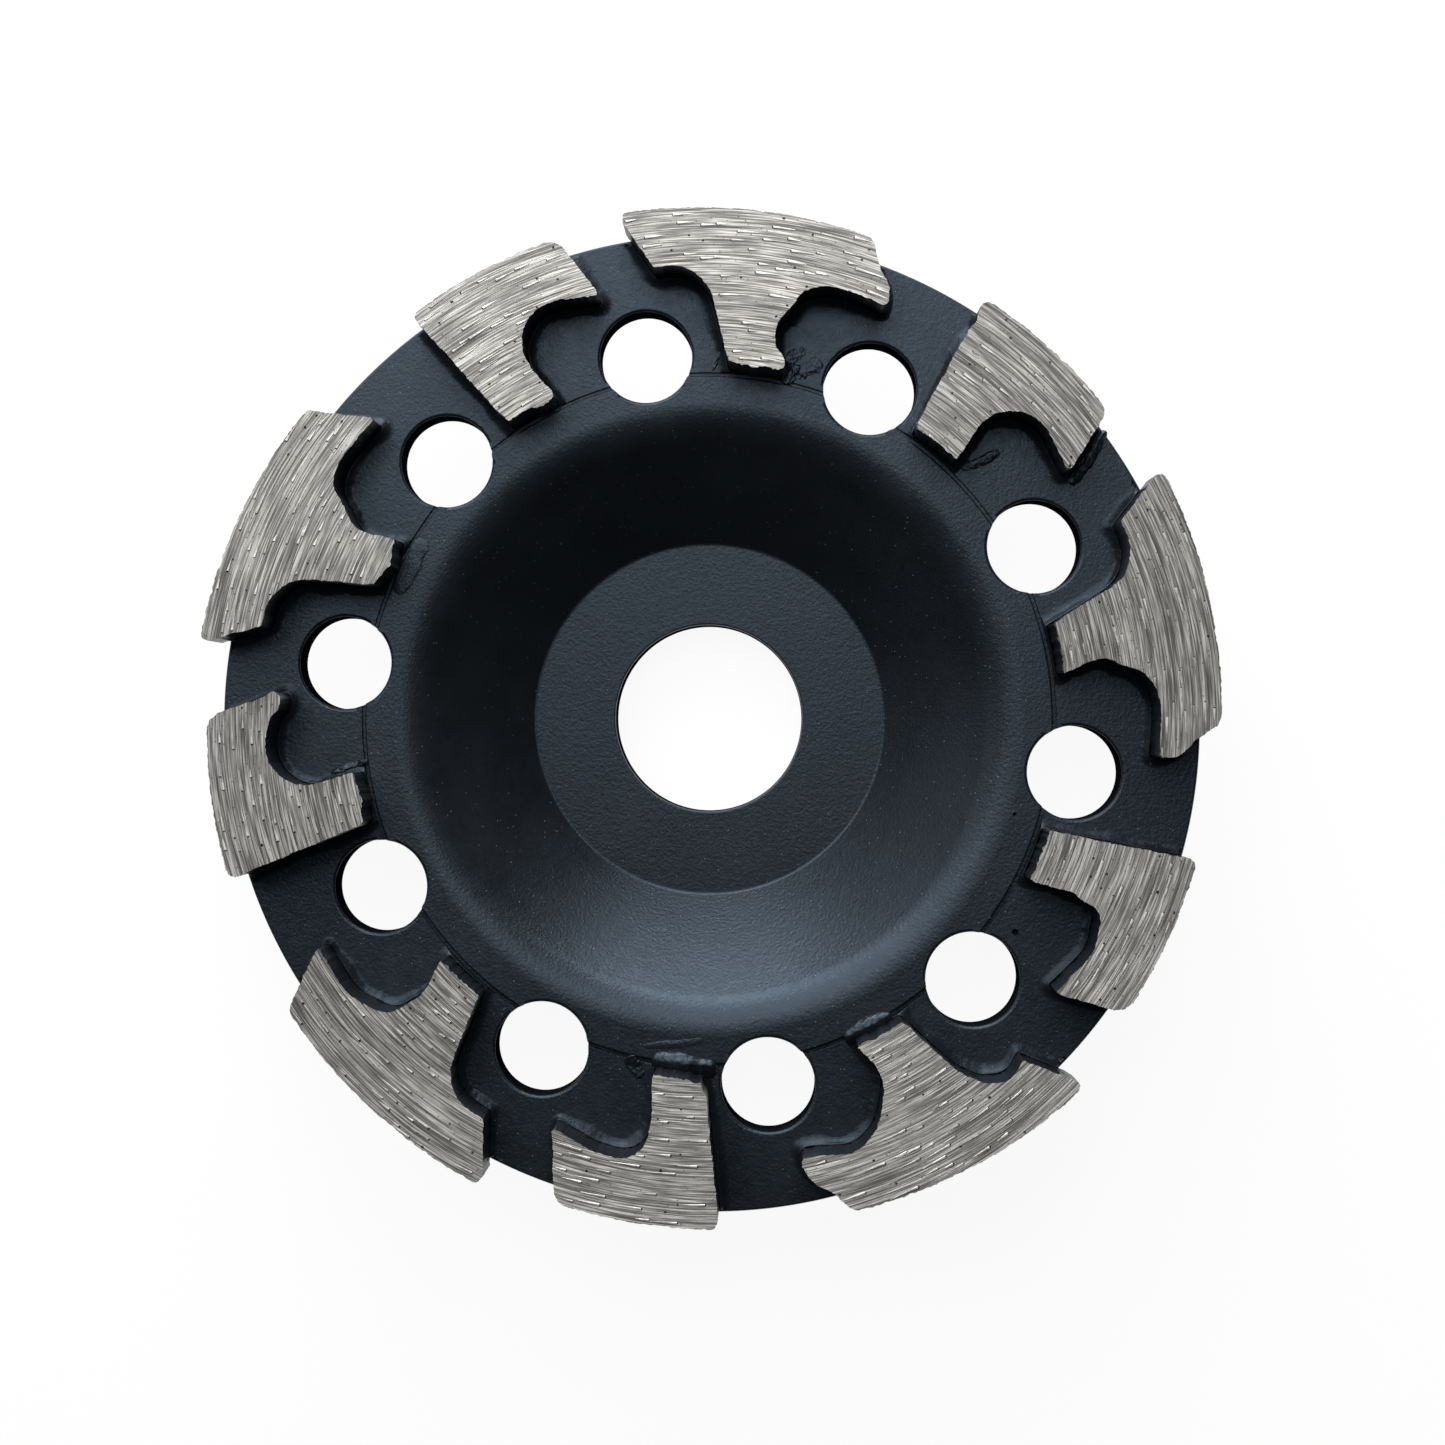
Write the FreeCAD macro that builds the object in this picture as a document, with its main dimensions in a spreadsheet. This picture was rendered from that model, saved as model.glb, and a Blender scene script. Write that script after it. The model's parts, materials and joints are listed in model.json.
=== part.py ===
import FreeCAD, Part
import Sketcher
import math
import os

# A diamond cup wheel for a hand-held angle grinder, sizes in millimetres.
# The origin is on the axis, at the back face of the hub. Z points to the working side.
# Seen from the working side Y is up and X is right, and angles run clockwise from Y.

SIZES = [
    # the bore and the hub
    ("bore_diameter", 22.23),
    ("bore_chamfer", 0.3),
    ("hub_thickness", 5.7),
    ("hub_face_width", 9.585),
    ("spot_face_depth", 0.15),
    # the bowl, from the edge of the hub face out to the flat land
    ("bowl_width", 15.8),
    ("lip_radius", 7.0),
    ("root_radius", 0.5),
    ("wall_thickness", 4.8),
    ("back_corner_radius", 2.5),
    ("back_root_radius", 3.0),
    # the land, the shoulder at its edge and the relief cut at the shoulder's foot
    ("land_width", 3.05),
    ("shoulder_rise", 0.5),
    ("shoulder_break", 0.2),
    ("relief_width", 0.45),
    ("relief_depth", 0.4),
    # the ring that carries the segments
    ("seat_height", 17.2),
    ("ring_thickness", 5.0),
    ("rim_chamfer", 0.3),
    # the dust holes, centred a little outside the shoulder
    ("dust_hole_count", 10),
    ("dust_hole_diameter", 10.7),
    ("dust_hole_offset", 2.85),
    ("dust_lead_angle", 9.4),
    ("dust_edge_break", 0.2),
    # the brazed joints
    ("braze_film", 0.15),
    ("braze_leg", 0.6),
    ("braze_height", 0.9),
    ("braze_lip", 0.2),
    ("foot_gap", 0.15),
    # what the T and the L segments share
    ("segment_height", 7.9),
    ("stem_length", 10.85),
    ("foot_corner_radius", 0.4),
    ("tip_radius", 0.4),
    ("twist_pivot_inset", 4.25),
    # the T segment, drawn with its centre line on Y: left and right of that line
    ("tee_overhang", 1.55),
    ("tee_arm_width", 6.8),
    ("tee_strike_offset", 1.7),
    ("tee_foot_left", 1.8),
    ("tee_left_pit_radius", 4.8),
    ("tee_left_pit_place", 8.8),
    ("tee_left_tip_reach", 2.5),
    ("tee_left_slant", 4.9),
    ("tee_left_round", 0.9),
    ("tee_right_pit_place", 9.05),
    ("tee_right_pit_rise", 3.8),
    ("tee_right_tip_reach", 6.65),
    ("tee_right_slant", 2.35),
    ("tee_right_round", 1.4),
    ("tee_flare_angle", 17.0),
    # the L segment, drawn the same way
    ("ell_overhang", 0.57),
    ("ell_foot_left", 3.55),
    ("ell_left_slant", 3.4),
    ("ell_left_round", 0.9),
    ("ell_pit_radius", 4.6),
    ("ell_pit_place", 6.6),
    ("ell_pit_drop", 11.87),
    ("ell_tip_reach", 6.35),
    ("ell_tip_drop", 9.6),
    ("ell_right_slant", 1.05),
    ("ell_right_round", 2.2),
    ("ell_flare_angle", 6.5),
    # where the first segment of each kind stands, clockwise from Y
    ("tee_first_angle", 5.9),
    ("ell_first_angle", 41.7),
]
# Each segment was set by hand: how far it stands off its even place, and how far it is
# twisted about its own middle, in degrees.
HAND_SET = {
    "tee": [(0.35, -0.5), (-0.35, -0.1), (0.0, 1.1), (-0.35, -0.5), (0.35, -0.1)],
    "ell": [(-0.7, -0.4), (-0.45, -0.4), (-0.3, 0.8), (0.25, 1.2), (1.2, -1.2)],
}
for kind, places in HAND_SET.items():
    for number, (off, twist) in enumerate(places, start=1):
        SIZES.append(("%s_off_angle_%d" % (kind, number), off))
        SIZES.append(("%s_twist_angle_%d" % (kind, number), twist))

os.makedirs("parts", exist_ok=True)
doc = FreeCAD.newDocument("diamond_cup_wheel")
sheet = doc.addObject("Spreadsheet::Sheet", "sizes")
size = {}
for row, (name, value) in enumerate(SIZES, start=1):
    sheet.set("A%d" % row, name)
    sheet.set("B%d" % row, repr(value))
    sheet.setAlias("B%d" % row, name)
    size[name] = value
doc.recompute()

# Places that several features share, each worked out from the sizes above.
HALF_BORE = "sizes.bore_diameter / 2"
FACE_EDGE = HALF_BORE + " + sizes.hub_face_width"
LAND_EDGE = FACE_EDGE + " + sizes.bowl_width"
SHOULDER = LAND_EDGE + " + sizes.land_width"
RELIEF = SHOULDER + " + sizes.relief_width"
FOOT = RELIEF + " + sizes.foot_gap"
TEE_UNDER = FOOT + " + sizes.stem_length"
TEE_OUTER = TEE_UNDER + " + sizes.tee_arm_width"
RIM = TEE_OUTER + " - sizes.tee_overhang"
ELL_OUTER = RIM + " + sizes.ell_overhang"
LAND_LEVEL = "sizes.seat_height + sizes.shoulder_rise"
FLOOR_LEVEL = "sizes.hub_thickness + sizes.spot_face_depth"
SEGMENT_BASE = "sizes.seat_height + sizes.braze_film"

bore = size["bore_diameter"] / 2
hub = size["hub_thickness"]
floor = hub + size["spot_face_depth"]
face_edge = bore + size["hub_face_width"]
land_edge = face_edge + size["bowl_width"]
shoulder = land_edge + size["land_width"]
relief_edge = shoulder + size["relief_width"]
foot = relief_edge + size["foot_gap"]
tee_under = foot + size["stem_length"]
tee_outer = tee_under + size["tee_arm_width"]
rim = tee_outer - size["tee_overhang"]
ell_outer = rim + size["ell_overhang"]
seat = size["seat_height"]
land = seat + size["shoulder_rise"]
under_ring = seat - size["ring_thickness"]


def vec(x, y):
    return FreeCAD.Vector(x, y, 0)


def origin_part(body, role):
    for feature in body.Origin.OriginFeatures:
        if feature.Role == role:
            return feature
    raise ValueError("no origin feature " + role)


def new_body(label):
    body = doc.addObject("PartDesign::Body", label)
    body.Label = label
    return body


def new_sketch(body, label, role):
    sketch = body.newObject("Sketcher::SketchObject", label)
    sketch.AttachmentSupport = [(origin_part(body, role), "")]
    sketch.MapMode = "FlatFace"
    return sketch


def line(sketch, start, end):
    return sketch.addGeometry(Part.LineSegment(start, end), False)


def arc(sketch, centre, radius, start, end, clockwise):
    """An arc from start to end. A clockwise one is stored the other way round."""
    first = math.atan2(start.y - centre.y, start.x - centre.x)
    last = math.atan2(end.y - centre.y, end.x - centre.x)
    if clockwise:
        first, last = last, first
    while last <= first:
        last += 2 * math.pi
    circle = Part.Circle(centre, FreeCAD.Vector(0, 0, 1), radius)
    return sketch.addGeometry(Part.ArcOfCircle(circle, first, last), False)


def bind(sketch, kind, items, formula):
    """One constraint whose value follows a formula on the sheet."""
    index = sketch.addConstraint(Sketcher.Constraint(kind, *items))
    sketch.setExpression("Constraints[%d]" % index, formula)
    return index


def join(sketch, first, first_end, second, second_end):
    sketch.addConstraint(Sketcher.Constraint("Coincident", first, first_end, second, second_end))


def smooth(sketch, first, first_end, second, second_end):
    sketch.addConstraint(Sketcher.Constraint("Tangent", first, first_end, second, second_end))


def place_x(sketch, geometry, end, value, formula):
    """The point lies to the right of the axis for a positive value, to the left otherwise."""
    if value >= 0:
        bind(sketch, "DistanceX", (-1, 1, geometry, end, value), formula)
    else:
        bind(sketch, "DistanceX", (geometry, end, -1, 1, -value), formula)


def place_y(sketch, geometry, end, value, formula):
    bind(sketch, "DistanceY", (-1, 1, geometry, end, value), formula)


def on_circle(centre, radius, x):
    """The upper point of a circle at a given x."""
    return vec(x, centre.y + math.sqrt(radius ** 2 - (x - centre.x) ** 2))


def toward(start, through, distance):
    """The point at a distance from start, on the ray that runs through another point."""
    step = through.sub(start)
    step.normalize()
    return start.add(step.multiply(distance))


def crossing(first, first_radius, second, second_radius, left):
    """Where two circles cross, on the left or the right of the way from first to second."""
    way = second.sub(first)
    gap = way.Length
    along = (gap ** 2 + first_radius ** 2 - second_radius ** 2) / (2 * gap)
    aside = math.sqrt(first_radius ** 2 - along ** 2)
    way.normalize()
    normal = vec(-way.y, way.x)
    if not left:
        normal = normal.negative()
    return first.add(way.multiply(along)).add(normal.multiply(aside))


def tangent_from(point, centre, radius, left):
    """Where a line from a point touches a circle."""
    reach = point.sub(centre).Length
    return crossing(centre, radius, point, math.sqrt(reach ** 2 - radius ** 2), left)


def flared_side(pit, radius, flare):
    """The straight lower side of a stem: where it leaves its bend, and where it meets the foot."""
    slant = math.radians(flare)
    touch = vec(pit.x - radius * math.cos(slant), pit.y - radius * math.sin(slant))
    down = vec(math.sin(slant), -math.cos(slant))
    along = touch.dot(down)
    length = -along - math.sqrt(along ** 2 - touch.dot(touch) + foot ** 2)
    return touch, touch.add(down.multiply(length))


def tee_points():
    """The corners and centres of the T outline."""
    outer = tee_outer
    under = tee_under
    strike = vec(-size["tee_strike_offset"], 0)
    left_tip = -(size["tee_left_pit_place"] + size["tee_left_tip_reach"])
    right_tip = size["tee_right_pit_place"] + size["tee_right_tip_reach"]
    left_pit = on_circle(strike, under - size["tee_left_pit_radius"], -size["tee_left_pit_place"])
    right_pit = vec(size["tee_right_pit_place"], foot + size["tee_right_pit_rise"])
    right_bend = under - right_pit.sub(strike).Length
    foot_left = on_circle(vec(0, 0), foot, -size["tee_foot_left"])
    right_leave, foot_right = flared_side(right_pit, right_bend, size["tee_flare_angle"])
    return {
        "outer": outer,
        "under": under,
        "strike": strike,
        "left_corner": on_circle(strike, outer, left_tip - size["tee_left_slant"]),
        "right_corner": on_circle(strike, outer, right_tip - size["tee_right_slant"]),
        "left_tip": on_circle(strike, under, left_tip),
        "right_tip": on_circle(strike, under, right_tip),
        "left_pit": left_pit,
        "right_pit": right_pit,
        "right_bend": right_bend,
        "left_touch": toward(strike, left_pit, under),
        "right_touch": toward(strike, right_pit, under),
        "foot_left": foot_left,
        "foot_right": foot_right,
        "left_leave": tangent_from(foot_left, left_pit, size["tee_left_pit_radius"], True),
        "right_leave": right_leave,
    }


def draw_tee(sketch):
    """The T outline: two arms of one ring, and a stem that runs in to the shoulder."""
    at = tee_points()
    left_bend_radius = size["tee_left_pit_radius"]
    top = arc(sketch, at["strike"], at["outer"], at["left_corner"], at["right_corner"], True)
    right_end = line(sketch, at["right_corner"], at["right_tip"])
    right_under = arc(sketch, at["strike"], at["under"], at["right_touch"], at["right_tip"], True)
    right_bend = arc(sketch, at["right_pit"], at["right_bend"], at["right_touch"], at["right_leave"], False)
    right_side = line(sketch, at["foot_right"], at["right_leave"])
    base = arc(sketch, vec(0, 0), foot, at["foot_left"], at["foot_right"], True)
    left_side = line(sketch, at["foot_left"], at["left_leave"])
    left_bend = arc(sketch, at["left_pit"], left_bend_radius, at["left_leave"], at["left_touch"], False)
    left_under = arc(sketch, at["strike"], at["under"], at["left_tip"], at["left_touch"], True)
    left_end = line(sketch, at["left_tip"], at["left_corner"])

    join(sketch, top, 1, right_end, 1)
    join(sketch, right_end, 2, right_under, 1)
    smooth(sketch, right_under, 2, right_bend, 1)
    smooth(sketch, right_bend, 2, right_side, 2)
    join(sketch, right_side, 1, base, 1)
    join(sketch, base, 2, left_side, 1)
    smooth(sketch, left_side, 2, left_bend, 1)
    smooth(sketch, left_bend, 2, left_under, 1)
    join(sketch, left_under, 2, left_end, 1)
    join(sketch, left_end, 2, top, 2)

    sketch.addConstraint(Sketcher.Constraint("PointOnObject", top, 3, -1))
    place_x(sketch, top, 3, at["strike"].x, "sizes.tee_strike_offset")
    join(sketch, right_under, 3, top, 3)
    join(sketch, left_under, 3, top, 3)
    join(sketch, base, 3, -1, 1)
    bind(sketch, "Radius", (top, at["outer"]), TEE_OUTER)
    bind(sketch, "Radius", (right_under, at["under"]), TEE_UNDER)
    sketch.addConstraint(Sketcher.Constraint("Equal", right_under, left_under))
    bind(sketch, "Radius", (base, foot), FOOT)
    bind(sketch, "Radius", (left_bend, left_bend_radius), "sizes.tee_left_pit_radius")
    lean = math.radians(90 + size["tee_flare_angle"])
    bind(sketch, "Angle", (right_side, lean), "90 + sizes.tee_flare_angle")
    left_tip = "sizes.tee_left_pit_place + sizes.tee_left_tip_reach"
    right_tip = "sizes.tee_right_pit_place + sizes.tee_right_tip_reach"
    place_x(sketch, left_bend, 3, at["left_pit"].x, "sizes.tee_left_pit_place")
    place_x(sketch, right_bend, 3, at["right_pit"].x, "sizes.tee_right_pit_place")
    place_y(sketch, right_bend, 3, at["right_pit"].y, FOOT + " + sizes.tee_right_pit_rise")
    place_x(sketch, right_end, 1, at["right_corner"].x, right_tip + " - sizes.tee_right_slant")
    place_x(sketch, right_end, 2, at["right_tip"].x, right_tip)
    place_x(sketch, left_end, 1, at["left_tip"].x, left_tip)
    place_x(sketch, left_end, 2, at["left_corner"].x, left_tip + " + sizes.tee_left_slant")
    place_x(sketch, left_side, 1, at["foot_left"].x, "sizes.tee_foot_left")


def ell_points():
    """The corners and centres of the L outline."""
    axis = vec(0, 0)
    outer = ell_outer
    pit = vec(size["ell_pit_place"], outer - size["ell_pit_drop"])
    tip = vec(size["ell_pit_place"] + size["ell_tip_reach"], outer - size["ell_tip_drop"])
    stem_leave, foot_right = flared_side(pit, size["ell_pit_radius"], size["ell_flare_angle"])
    return {
        "outer": outer,
        "pit": pit,
        "tip": tip,
        "left_corner": on_circle(axis, outer, -(size["ell_foot_left"] + size["ell_left_slant"])),
        "right_corner": on_circle(axis, outer, tip.x - size["ell_right_slant"]),
        "foot_left": on_circle(axis, foot, -size["ell_foot_left"]),
        "foot_right": foot_right,
        "arm_touch": tangent_from(tip, pit, size["ell_pit_radius"], True),
        "stem_leave": stem_leave,
    }


def draw_ell(sketch):
    """The L outline: a straight side, one arm, and a stem that runs in to the shoulder."""
    axis = vec(0, 0)
    at = ell_points()
    radius = size["ell_pit_radius"]
    top = arc(sketch, axis, at["outer"], at["left_corner"], at["right_corner"], True)
    end = line(sketch, at["right_corner"], at["tip"])
    under = line(sketch, at["tip"], at["arm_touch"])
    bend = arc(sketch, at["pit"], radius, at["arm_touch"], at["stem_leave"], False)
    stem = line(sketch, at["foot_right"], at["stem_leave"])
    base = arc(sketch, axis, foot, at["foot_left"], at["foot_right"], True)
    side = line(sketch, at["foot_left"], at["left_corner"])

    join(sketch, top, 1, end, 1)
    join(sketch, end, 2, under, 1)
    smooth(sketch, under, 2, bend, 1)
    smooth(sketch, bend, 2, stem, 2)
    join(sketch, stem, 1, base, 1)
    join(sketch, base, 2, side, 1)
    join(sketch, side, 2, top, 2)

    join(sketch, top, 3, -1, 1)
    join(sketch, base, 3, -1, 1)
    bind(sketch, "Radius", (top, at["outer"]), ELL_OUTER)
    bind(sketch, "Radius", (base, foot), FOOT)
    bind(sketch, "Radius", (bend, radius), "sizes.ell_pit_radius")
    lean = math.radians(90 + size["ell_flare_angle"])
    bind(sketch, "Angle", (stem, lean), "90 + sizes.ell_flare_angle")
    tip_place = "sizes.ell_pit_place + sizes.ell_tip_reach"
    place_x(sketch, bend, 3, at["pit"].x, "sizes.ell_pit_place")
    place_y(sketch, bend, 3, at["pit"].y, ELL_OUTER + " - sizes.ell_pit_drop")
    place_x(sketch, end, 1, at["right_corner"].x, tip_place + " - sizes.ell_right_slant")
    place_x(sketch, end, 2, at["tip"].x, tip_place)
    place_y(sketch, end, 2, at["tip"].y, ELL_OUTER + " - sizes.ell_tip_drop")
    place_x(sketch, side, 1, at["foot_left"].x, "sizes.ell_foot_left")
    place_x(sketch, side, 2, at["left_corner"].x, "sizes.ell_foot_left + sizes.ell_left_slant")


def circle_edges(shape, radius, level):
    """Names of the round edges of one radius that lie flat at one level."""
    names = []
    for number, edge in enumerate(shape.Edges, start=1):
        if not isinstance(edge.Curve, Part.Circle):
            continue
        if abs(edge.Curve.Radius - radius) > 1e-4:
            continue
        if abs(edge.BoundBox.ZMin - level) > 1e-4 or abs(edge.BoundBox.ZMax - level) > 1e-4:
            continue
        names.append("Edge%d" % number)
    if not names:
        raise ValueError("no round edge of radius %.3f at %.3f" % (radius, level))
    return names


def upright_edge(shape, x, y):
    """Name of the upright edge nearest to a point of the outline."""
    best = None
    for number, edge in enumerate(shape.Edges, start=1):
        box = edge.BoundBox
        if box.ZLength < 1 or box.XLength > 1e-6 or box.YLength > 1e-6:
            continue
        reach = math.hypot(box.XMin - x, box.YMin - y)
        if best is None or reach < best[0]:
            best = (reach, "Edge%d" % number)
    return best[1]


def dress(body, kind, label, edges, formula):
    """A fillet or a chamfer on named edges of the body's last feature."""
    feature = body.newObject("PartDesign::" + kind, label)
    feature.Base = (body.Tip if body.Tip is not feature else feature.BaseFeature, edges)
    feature.setExpression("Radius" if kind == "Fillet" else "Size", formula)
    body.Tip = feature
    doc.recompute()
    return feature


# The cup, one piece of steel turned round the axis: hub, bowl wall, land, shoulder and seat ring.
cup = new_body("cup_body")
profile = new_sketch(cup, "cup_profile", "XZ_Plane")
lip_centre = vec(land_edge, land - size["lip_radius"])
root_centre = vec(face_edge, floor + size["root_radius"])
span = root_centre.sub(lip_centre)
swing = math.acos((size["lip_radius"] + size["root_radius"]) / span.Length)
toward_root = math.atan2(span.y, span.x)
slope = toward_root + swing - math.pi / 2
if slope < 0 or slope > math.pi / 2:
    slope = toward_root - swing - math.pi / 2
lip_end = vec(lip_centre.x - size["lip_radius"] * math.sin(slope),
              lip_centre.y + size["lip_radius"] * math.cos(slope))
root_end = vec(root_centre.x + size["root_radius"] * math.sin(slope),
               root_centre.y - size["root_radius"] * math.cos(slope))
drop = size["wall_thickness"] / math.cos(slope)
back_start = root_end.x - (root_end.y - drop) / math.tan(slope)
back_end = back_start + under_ring / math.tan(slope)

points = [vec(bore, 0), vec(back_start, 0), vec(back_end, under_ring), vec(rim, under_ring),
          vec(rim, seat), vec(shoulder, seat), vec(shoulder, land), vec(land_edge, land)]
edges = [line(profile, points[i], points[i + 1]) for i in range(len(points) - 1)]
lip = arc(profile, lip_centre, size["lip_radius"], points[-1], lip_end, False)
wall = line(profile, lip_end, root_end)
root = arc(profile, root_centre, size["root_radius"], root_end, vec(face_edge, floor), True)
step = line(profile, vec(face_edge, floor), vec(face_edge, hub))
face = line(profile, vec(face_edge, hub), vec(bore, hub))
bore_wall = line(profile, vec(bore, hub), vec(bore, 0))
for first, second in zip(edges, edges[1:]):
    join(profile, first, 2, second, 1)
smooth(profile, edges[-1], 2, lip, 1)
smooth(profile, lip, 2, wall, 1)
smooth(profile, wall, 2, root, 2)
join(profile, root, 1, step, 1)
join(profile, step, 2, face, 1)
join(profile, face, 2, bore_wall, 1)
join(profile, bore_wall, 2, edges[0], 1)
for level in (edges[0], edges[2], edges[4], edges[6], face):
    profile.addConstraint(Sketcher.Constraint("Horizontal", level))
for upright in (edges[3], edges[5], step, bore_wall):
    profile.addConstraint(Sketcher.Constraint("Vertical", upright))
profile.addConstraint(Sketcher.Constraint("PointOnObject", edges[0], 1, -1))
place_x(profile, edges[0], 1, bore, HALF_BORE)
place_x(profile, edges[2], 2, rim, RIM)
place_y(profile, edges[2], 2, under_ring, "sizes.seat_height - sizes.ring_thickness")
place_y(profile, edges[4], 1, seat, "sizes.seat_height")
place_x(profile, edges[5], 1, shoulder, SHOULDER)
place_y(profile, edges[6], 1, land, LAND_LEVEL)
place_x(profile, edges[6], 2, land_edge, LAND_EDGE)
bind(profile, "Radius", (lip, size["lip_radius"]), "sizes.lip_radius")
bind(profile, "Radius", (root, size["root_radius"]), "sizes.root_radius")
place_x(profile, root, 3, face_edge, FACE_EDGE)
place_x(profile, root, 1, face_edge, FACE_EDGE)
place_y(profile, root, 1, floor, FLOOR_LEVEL)
place_y(profile, face, 1, hub, "sizes.hub_thickness")
profile.addConstraint(Sketcher.Constraint("Parallel", edges[1], wall))
bind(profile, "Distance", (edges[1], 2, wall, size["wall_thickness"]), "sizes.wall_thickness")
turned = cup.newObject("PartDesign::Revolution", "cup_turned")
turned.Profile = profile
turned.ReferenceAxis = (profile, ["V_Axis"])
turned.Angle = 360
doc.recompute()

# The relief, a narrow groove cut at the foot of the shoulder.
relief_sketch = new_sketch(cup, "relief_profile", "XZ_Plane")
low = seat - size["relief_depth"]
high = land + 1
corners = [vec(shoulder, low), vec(relief_edge, low), vec(relief_edge, high), vec(shoulder, high)]
sides = [line(relief_sketch, corners[i], corners[(i + 1) % 4]) for i in range(4)]
for i in range(4):
    join(relief_sketch, sides[i], 2, sides[(i + 1) % 4], 1)
for i in (0, 2):
    relief_sketch.addConstraint(Sketcher.Constraint("Horizontal", sides[i]))
    relief_sketch.addConstraint(Sketcher.Constraint("Vertical", sides[i + 1]))
place_x(relief_sketch, sides[0], 1, shoulder, SHOULDER)
place_x(relief_sketch, sides[0], 2, relief_edge, RELIEF)
place_y(relief_sketch, sides[0], 1, low, "sizes.seat_height - sizes.relief_depth")
place_y(relief_sketch, sides[2], 1, high, LAND_LEVEL + " + 1")
relief = cup.newObject("PartDesign::Groove", "relief_groove")
relief.Profile = relief_sketch
relief.ReferenceAxis = (relief_sketch, ["V_Axis"])
relief.Angle = 360
doc.recompute()

# Rounds and chamfers on the turned edges.
turned_shape = relief.Shape
dress(cup, "Fillet", "back_corner", circle_edges(turned_shape, back_start, 0), "sizes.back_corner_radius")
turned_shape = cup.Tip.Shape
dress(cup, "Fillet", "back_root", circle_edges(turned_shape, back_end, under_ring), "sizes.back_root_radius")
turned_shape = cup.Tip.Shape
rim_edges = circle_edges(turned_shape, rim, seat) + circle_edges(turned_shape, rim, under_ring)
dress(cup, "Chamfer", "rim_edges", rim_edges, "sizes.rim_chamfer")
turned_shape = cup.Tip.Shape
bore_edges = circle_edges(turned_shape, bore, 0) + circle_edges(turned_shape, bore, hub)
dress(cup, "Chamfer", "bore_edges", bore_edges, "sizes.bore_chamfer")
turned_shape = cup.Tip.Shape
dress(cup, "Chamfer", "shoulder_edge", circle_edges(turned_shape, shoulder, land), "sizes.shoulder_break")

# The dust holes, ten in an even ring across the shoulder.
hole_sketch = new_sketch(cup, "dust_hole_outline", "XY_Plane")
lead = math.radians(size["dust_lead_angle"])
pitch = shoulder + size["dust_hole_offset"]
hole_x = -pitch * math.sin(lead)
hole_y = pitch * math.cos(lead)
hole_radius = size["dust_hole_diameter"] / 2
circle = Part.Circle(vec(hole_x, hole_y), FreeCAD.Vector(0, 0, 1), hole_radius)
ring = hole_sketch.addGeometry(circle, False)
bind(hole_sketch, "Diameter", (ring, 2 * hole_radius), "sizes.dust_hole_diameter")
PITCH = "(" + SHOULDER + " + sizes.dust_hole_offset)"
place_x(hole_sketch, ring, 3, hole_x, PITCH + " * sin(sizes.dust_lead_angle)")
place_y(hole_sketch, ring, 3, hole_y, PITCH + " * cos(sizes.dust_lead_angle)")
hole = cup.newObject("PartDesign::Pocket", "dust_hole")
hole.Profile = hole_sketch
hole.Type = "ThroughAll"
hole.Midplane = True
holes = cup.newObject("PartDesign::PolarPattern", "dust_holes")
holes.Originals = [hole]
holes.Axis = (origin_part(cup, "Z_Axis"), [""])
holes.Angle = 360
holes.setExpression("Occurrences", "sizes.dust_hole_count")
cup.Tip = holes
doc.recompute()
hole_edges = circle_edges(holes.Shape, hole_radius, seat)
dress(cup, "Chamfer", "dust_hole_edges", hole_edges, "sizes.dust_edge_break")


def place_on_ring(thing, kind, index, lift=0.0):
    """Stands a part clockwise round the axis at its own place, twisted about its own middle."""
    number = index + 1
    stand = size[kind + "_first_angle"] + 360 * index / len(HAND_SET[kind])
    stand += size["%s_off_angle_%d" % (kind, number)]
    turn = stand + size["%s_twist_angle_%d" % (kind, number)]
    pivot = rim - size["twist_pivot_inset"]
    aside = pivot * (math.sin(math.radians(stand)) - math.sin(math.radians(turn)))
    ahead = pivot * (math.cos(math.radians(stand)) - math.cos(math.radians(turn)))
    rotation = FreeCAD.Rotation(FreeCAD.Vector(0, 0, 1), -turn)
    thing.Placement = FreeCAD.Placement(FreeCAD.Vector(aside, ahead, lift), rotation)
    stand_formula = "(sizes.%s_first_angle + 360 * %d / %d + sizes.%s_off_angle_%d)" % (
        kind, index, len(HAND_SET[kind]), kind, number)
    turn_formula = "(%s + sizes.%s_twist_angle_%d)" % (stand_formula, kind, number)
    pivot_formula = "(%s - sizes.twist_pivot_inset)" % RIM
    swing = "%s * (%s(%s) - %s(%s))"
    thing.setExpression("Placement.Rotation.Angle", "-" + turn_formula)
    thing.setExpression("Placement.Base.x",
                        swing % (pivot_formula, "sin", stand_formula, "sin", turn_formula))
    thing.setExpression("Placement.Base.y",
                        swing % (pivot_formula, "cos", stand_formula, "cos", turn_formula))


def segment(kind, label, index, draw, corners):
    """One diamond segment: an upright block of the outline with rounded upright edges."""
    body = new_body(label)
    outline = new_sketch(body, label + "_outline", "XY_Plane")
    outline.setExpression("AttachmentOffset.Base.z", SEGMENT_BASE)
    draw(outline)
    pad = body.newObject("PartDesign::Pad", label + "_pad")
    pad.Profile = outline
    pad.setExpression("Length", "sizes.segment_height")
    body.Tip = pad
    doc.recompute()
    for number, (corner, formula) in enumerate(corners, start=1):
        name = upright_edge(body.Tip.Shape, corner.x, corner.y)
        dress(body, "Fillet", "%s_round_%d" % (label, number), [name], formula)
    place_on_ring(body, kind, index)
    return body


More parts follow.
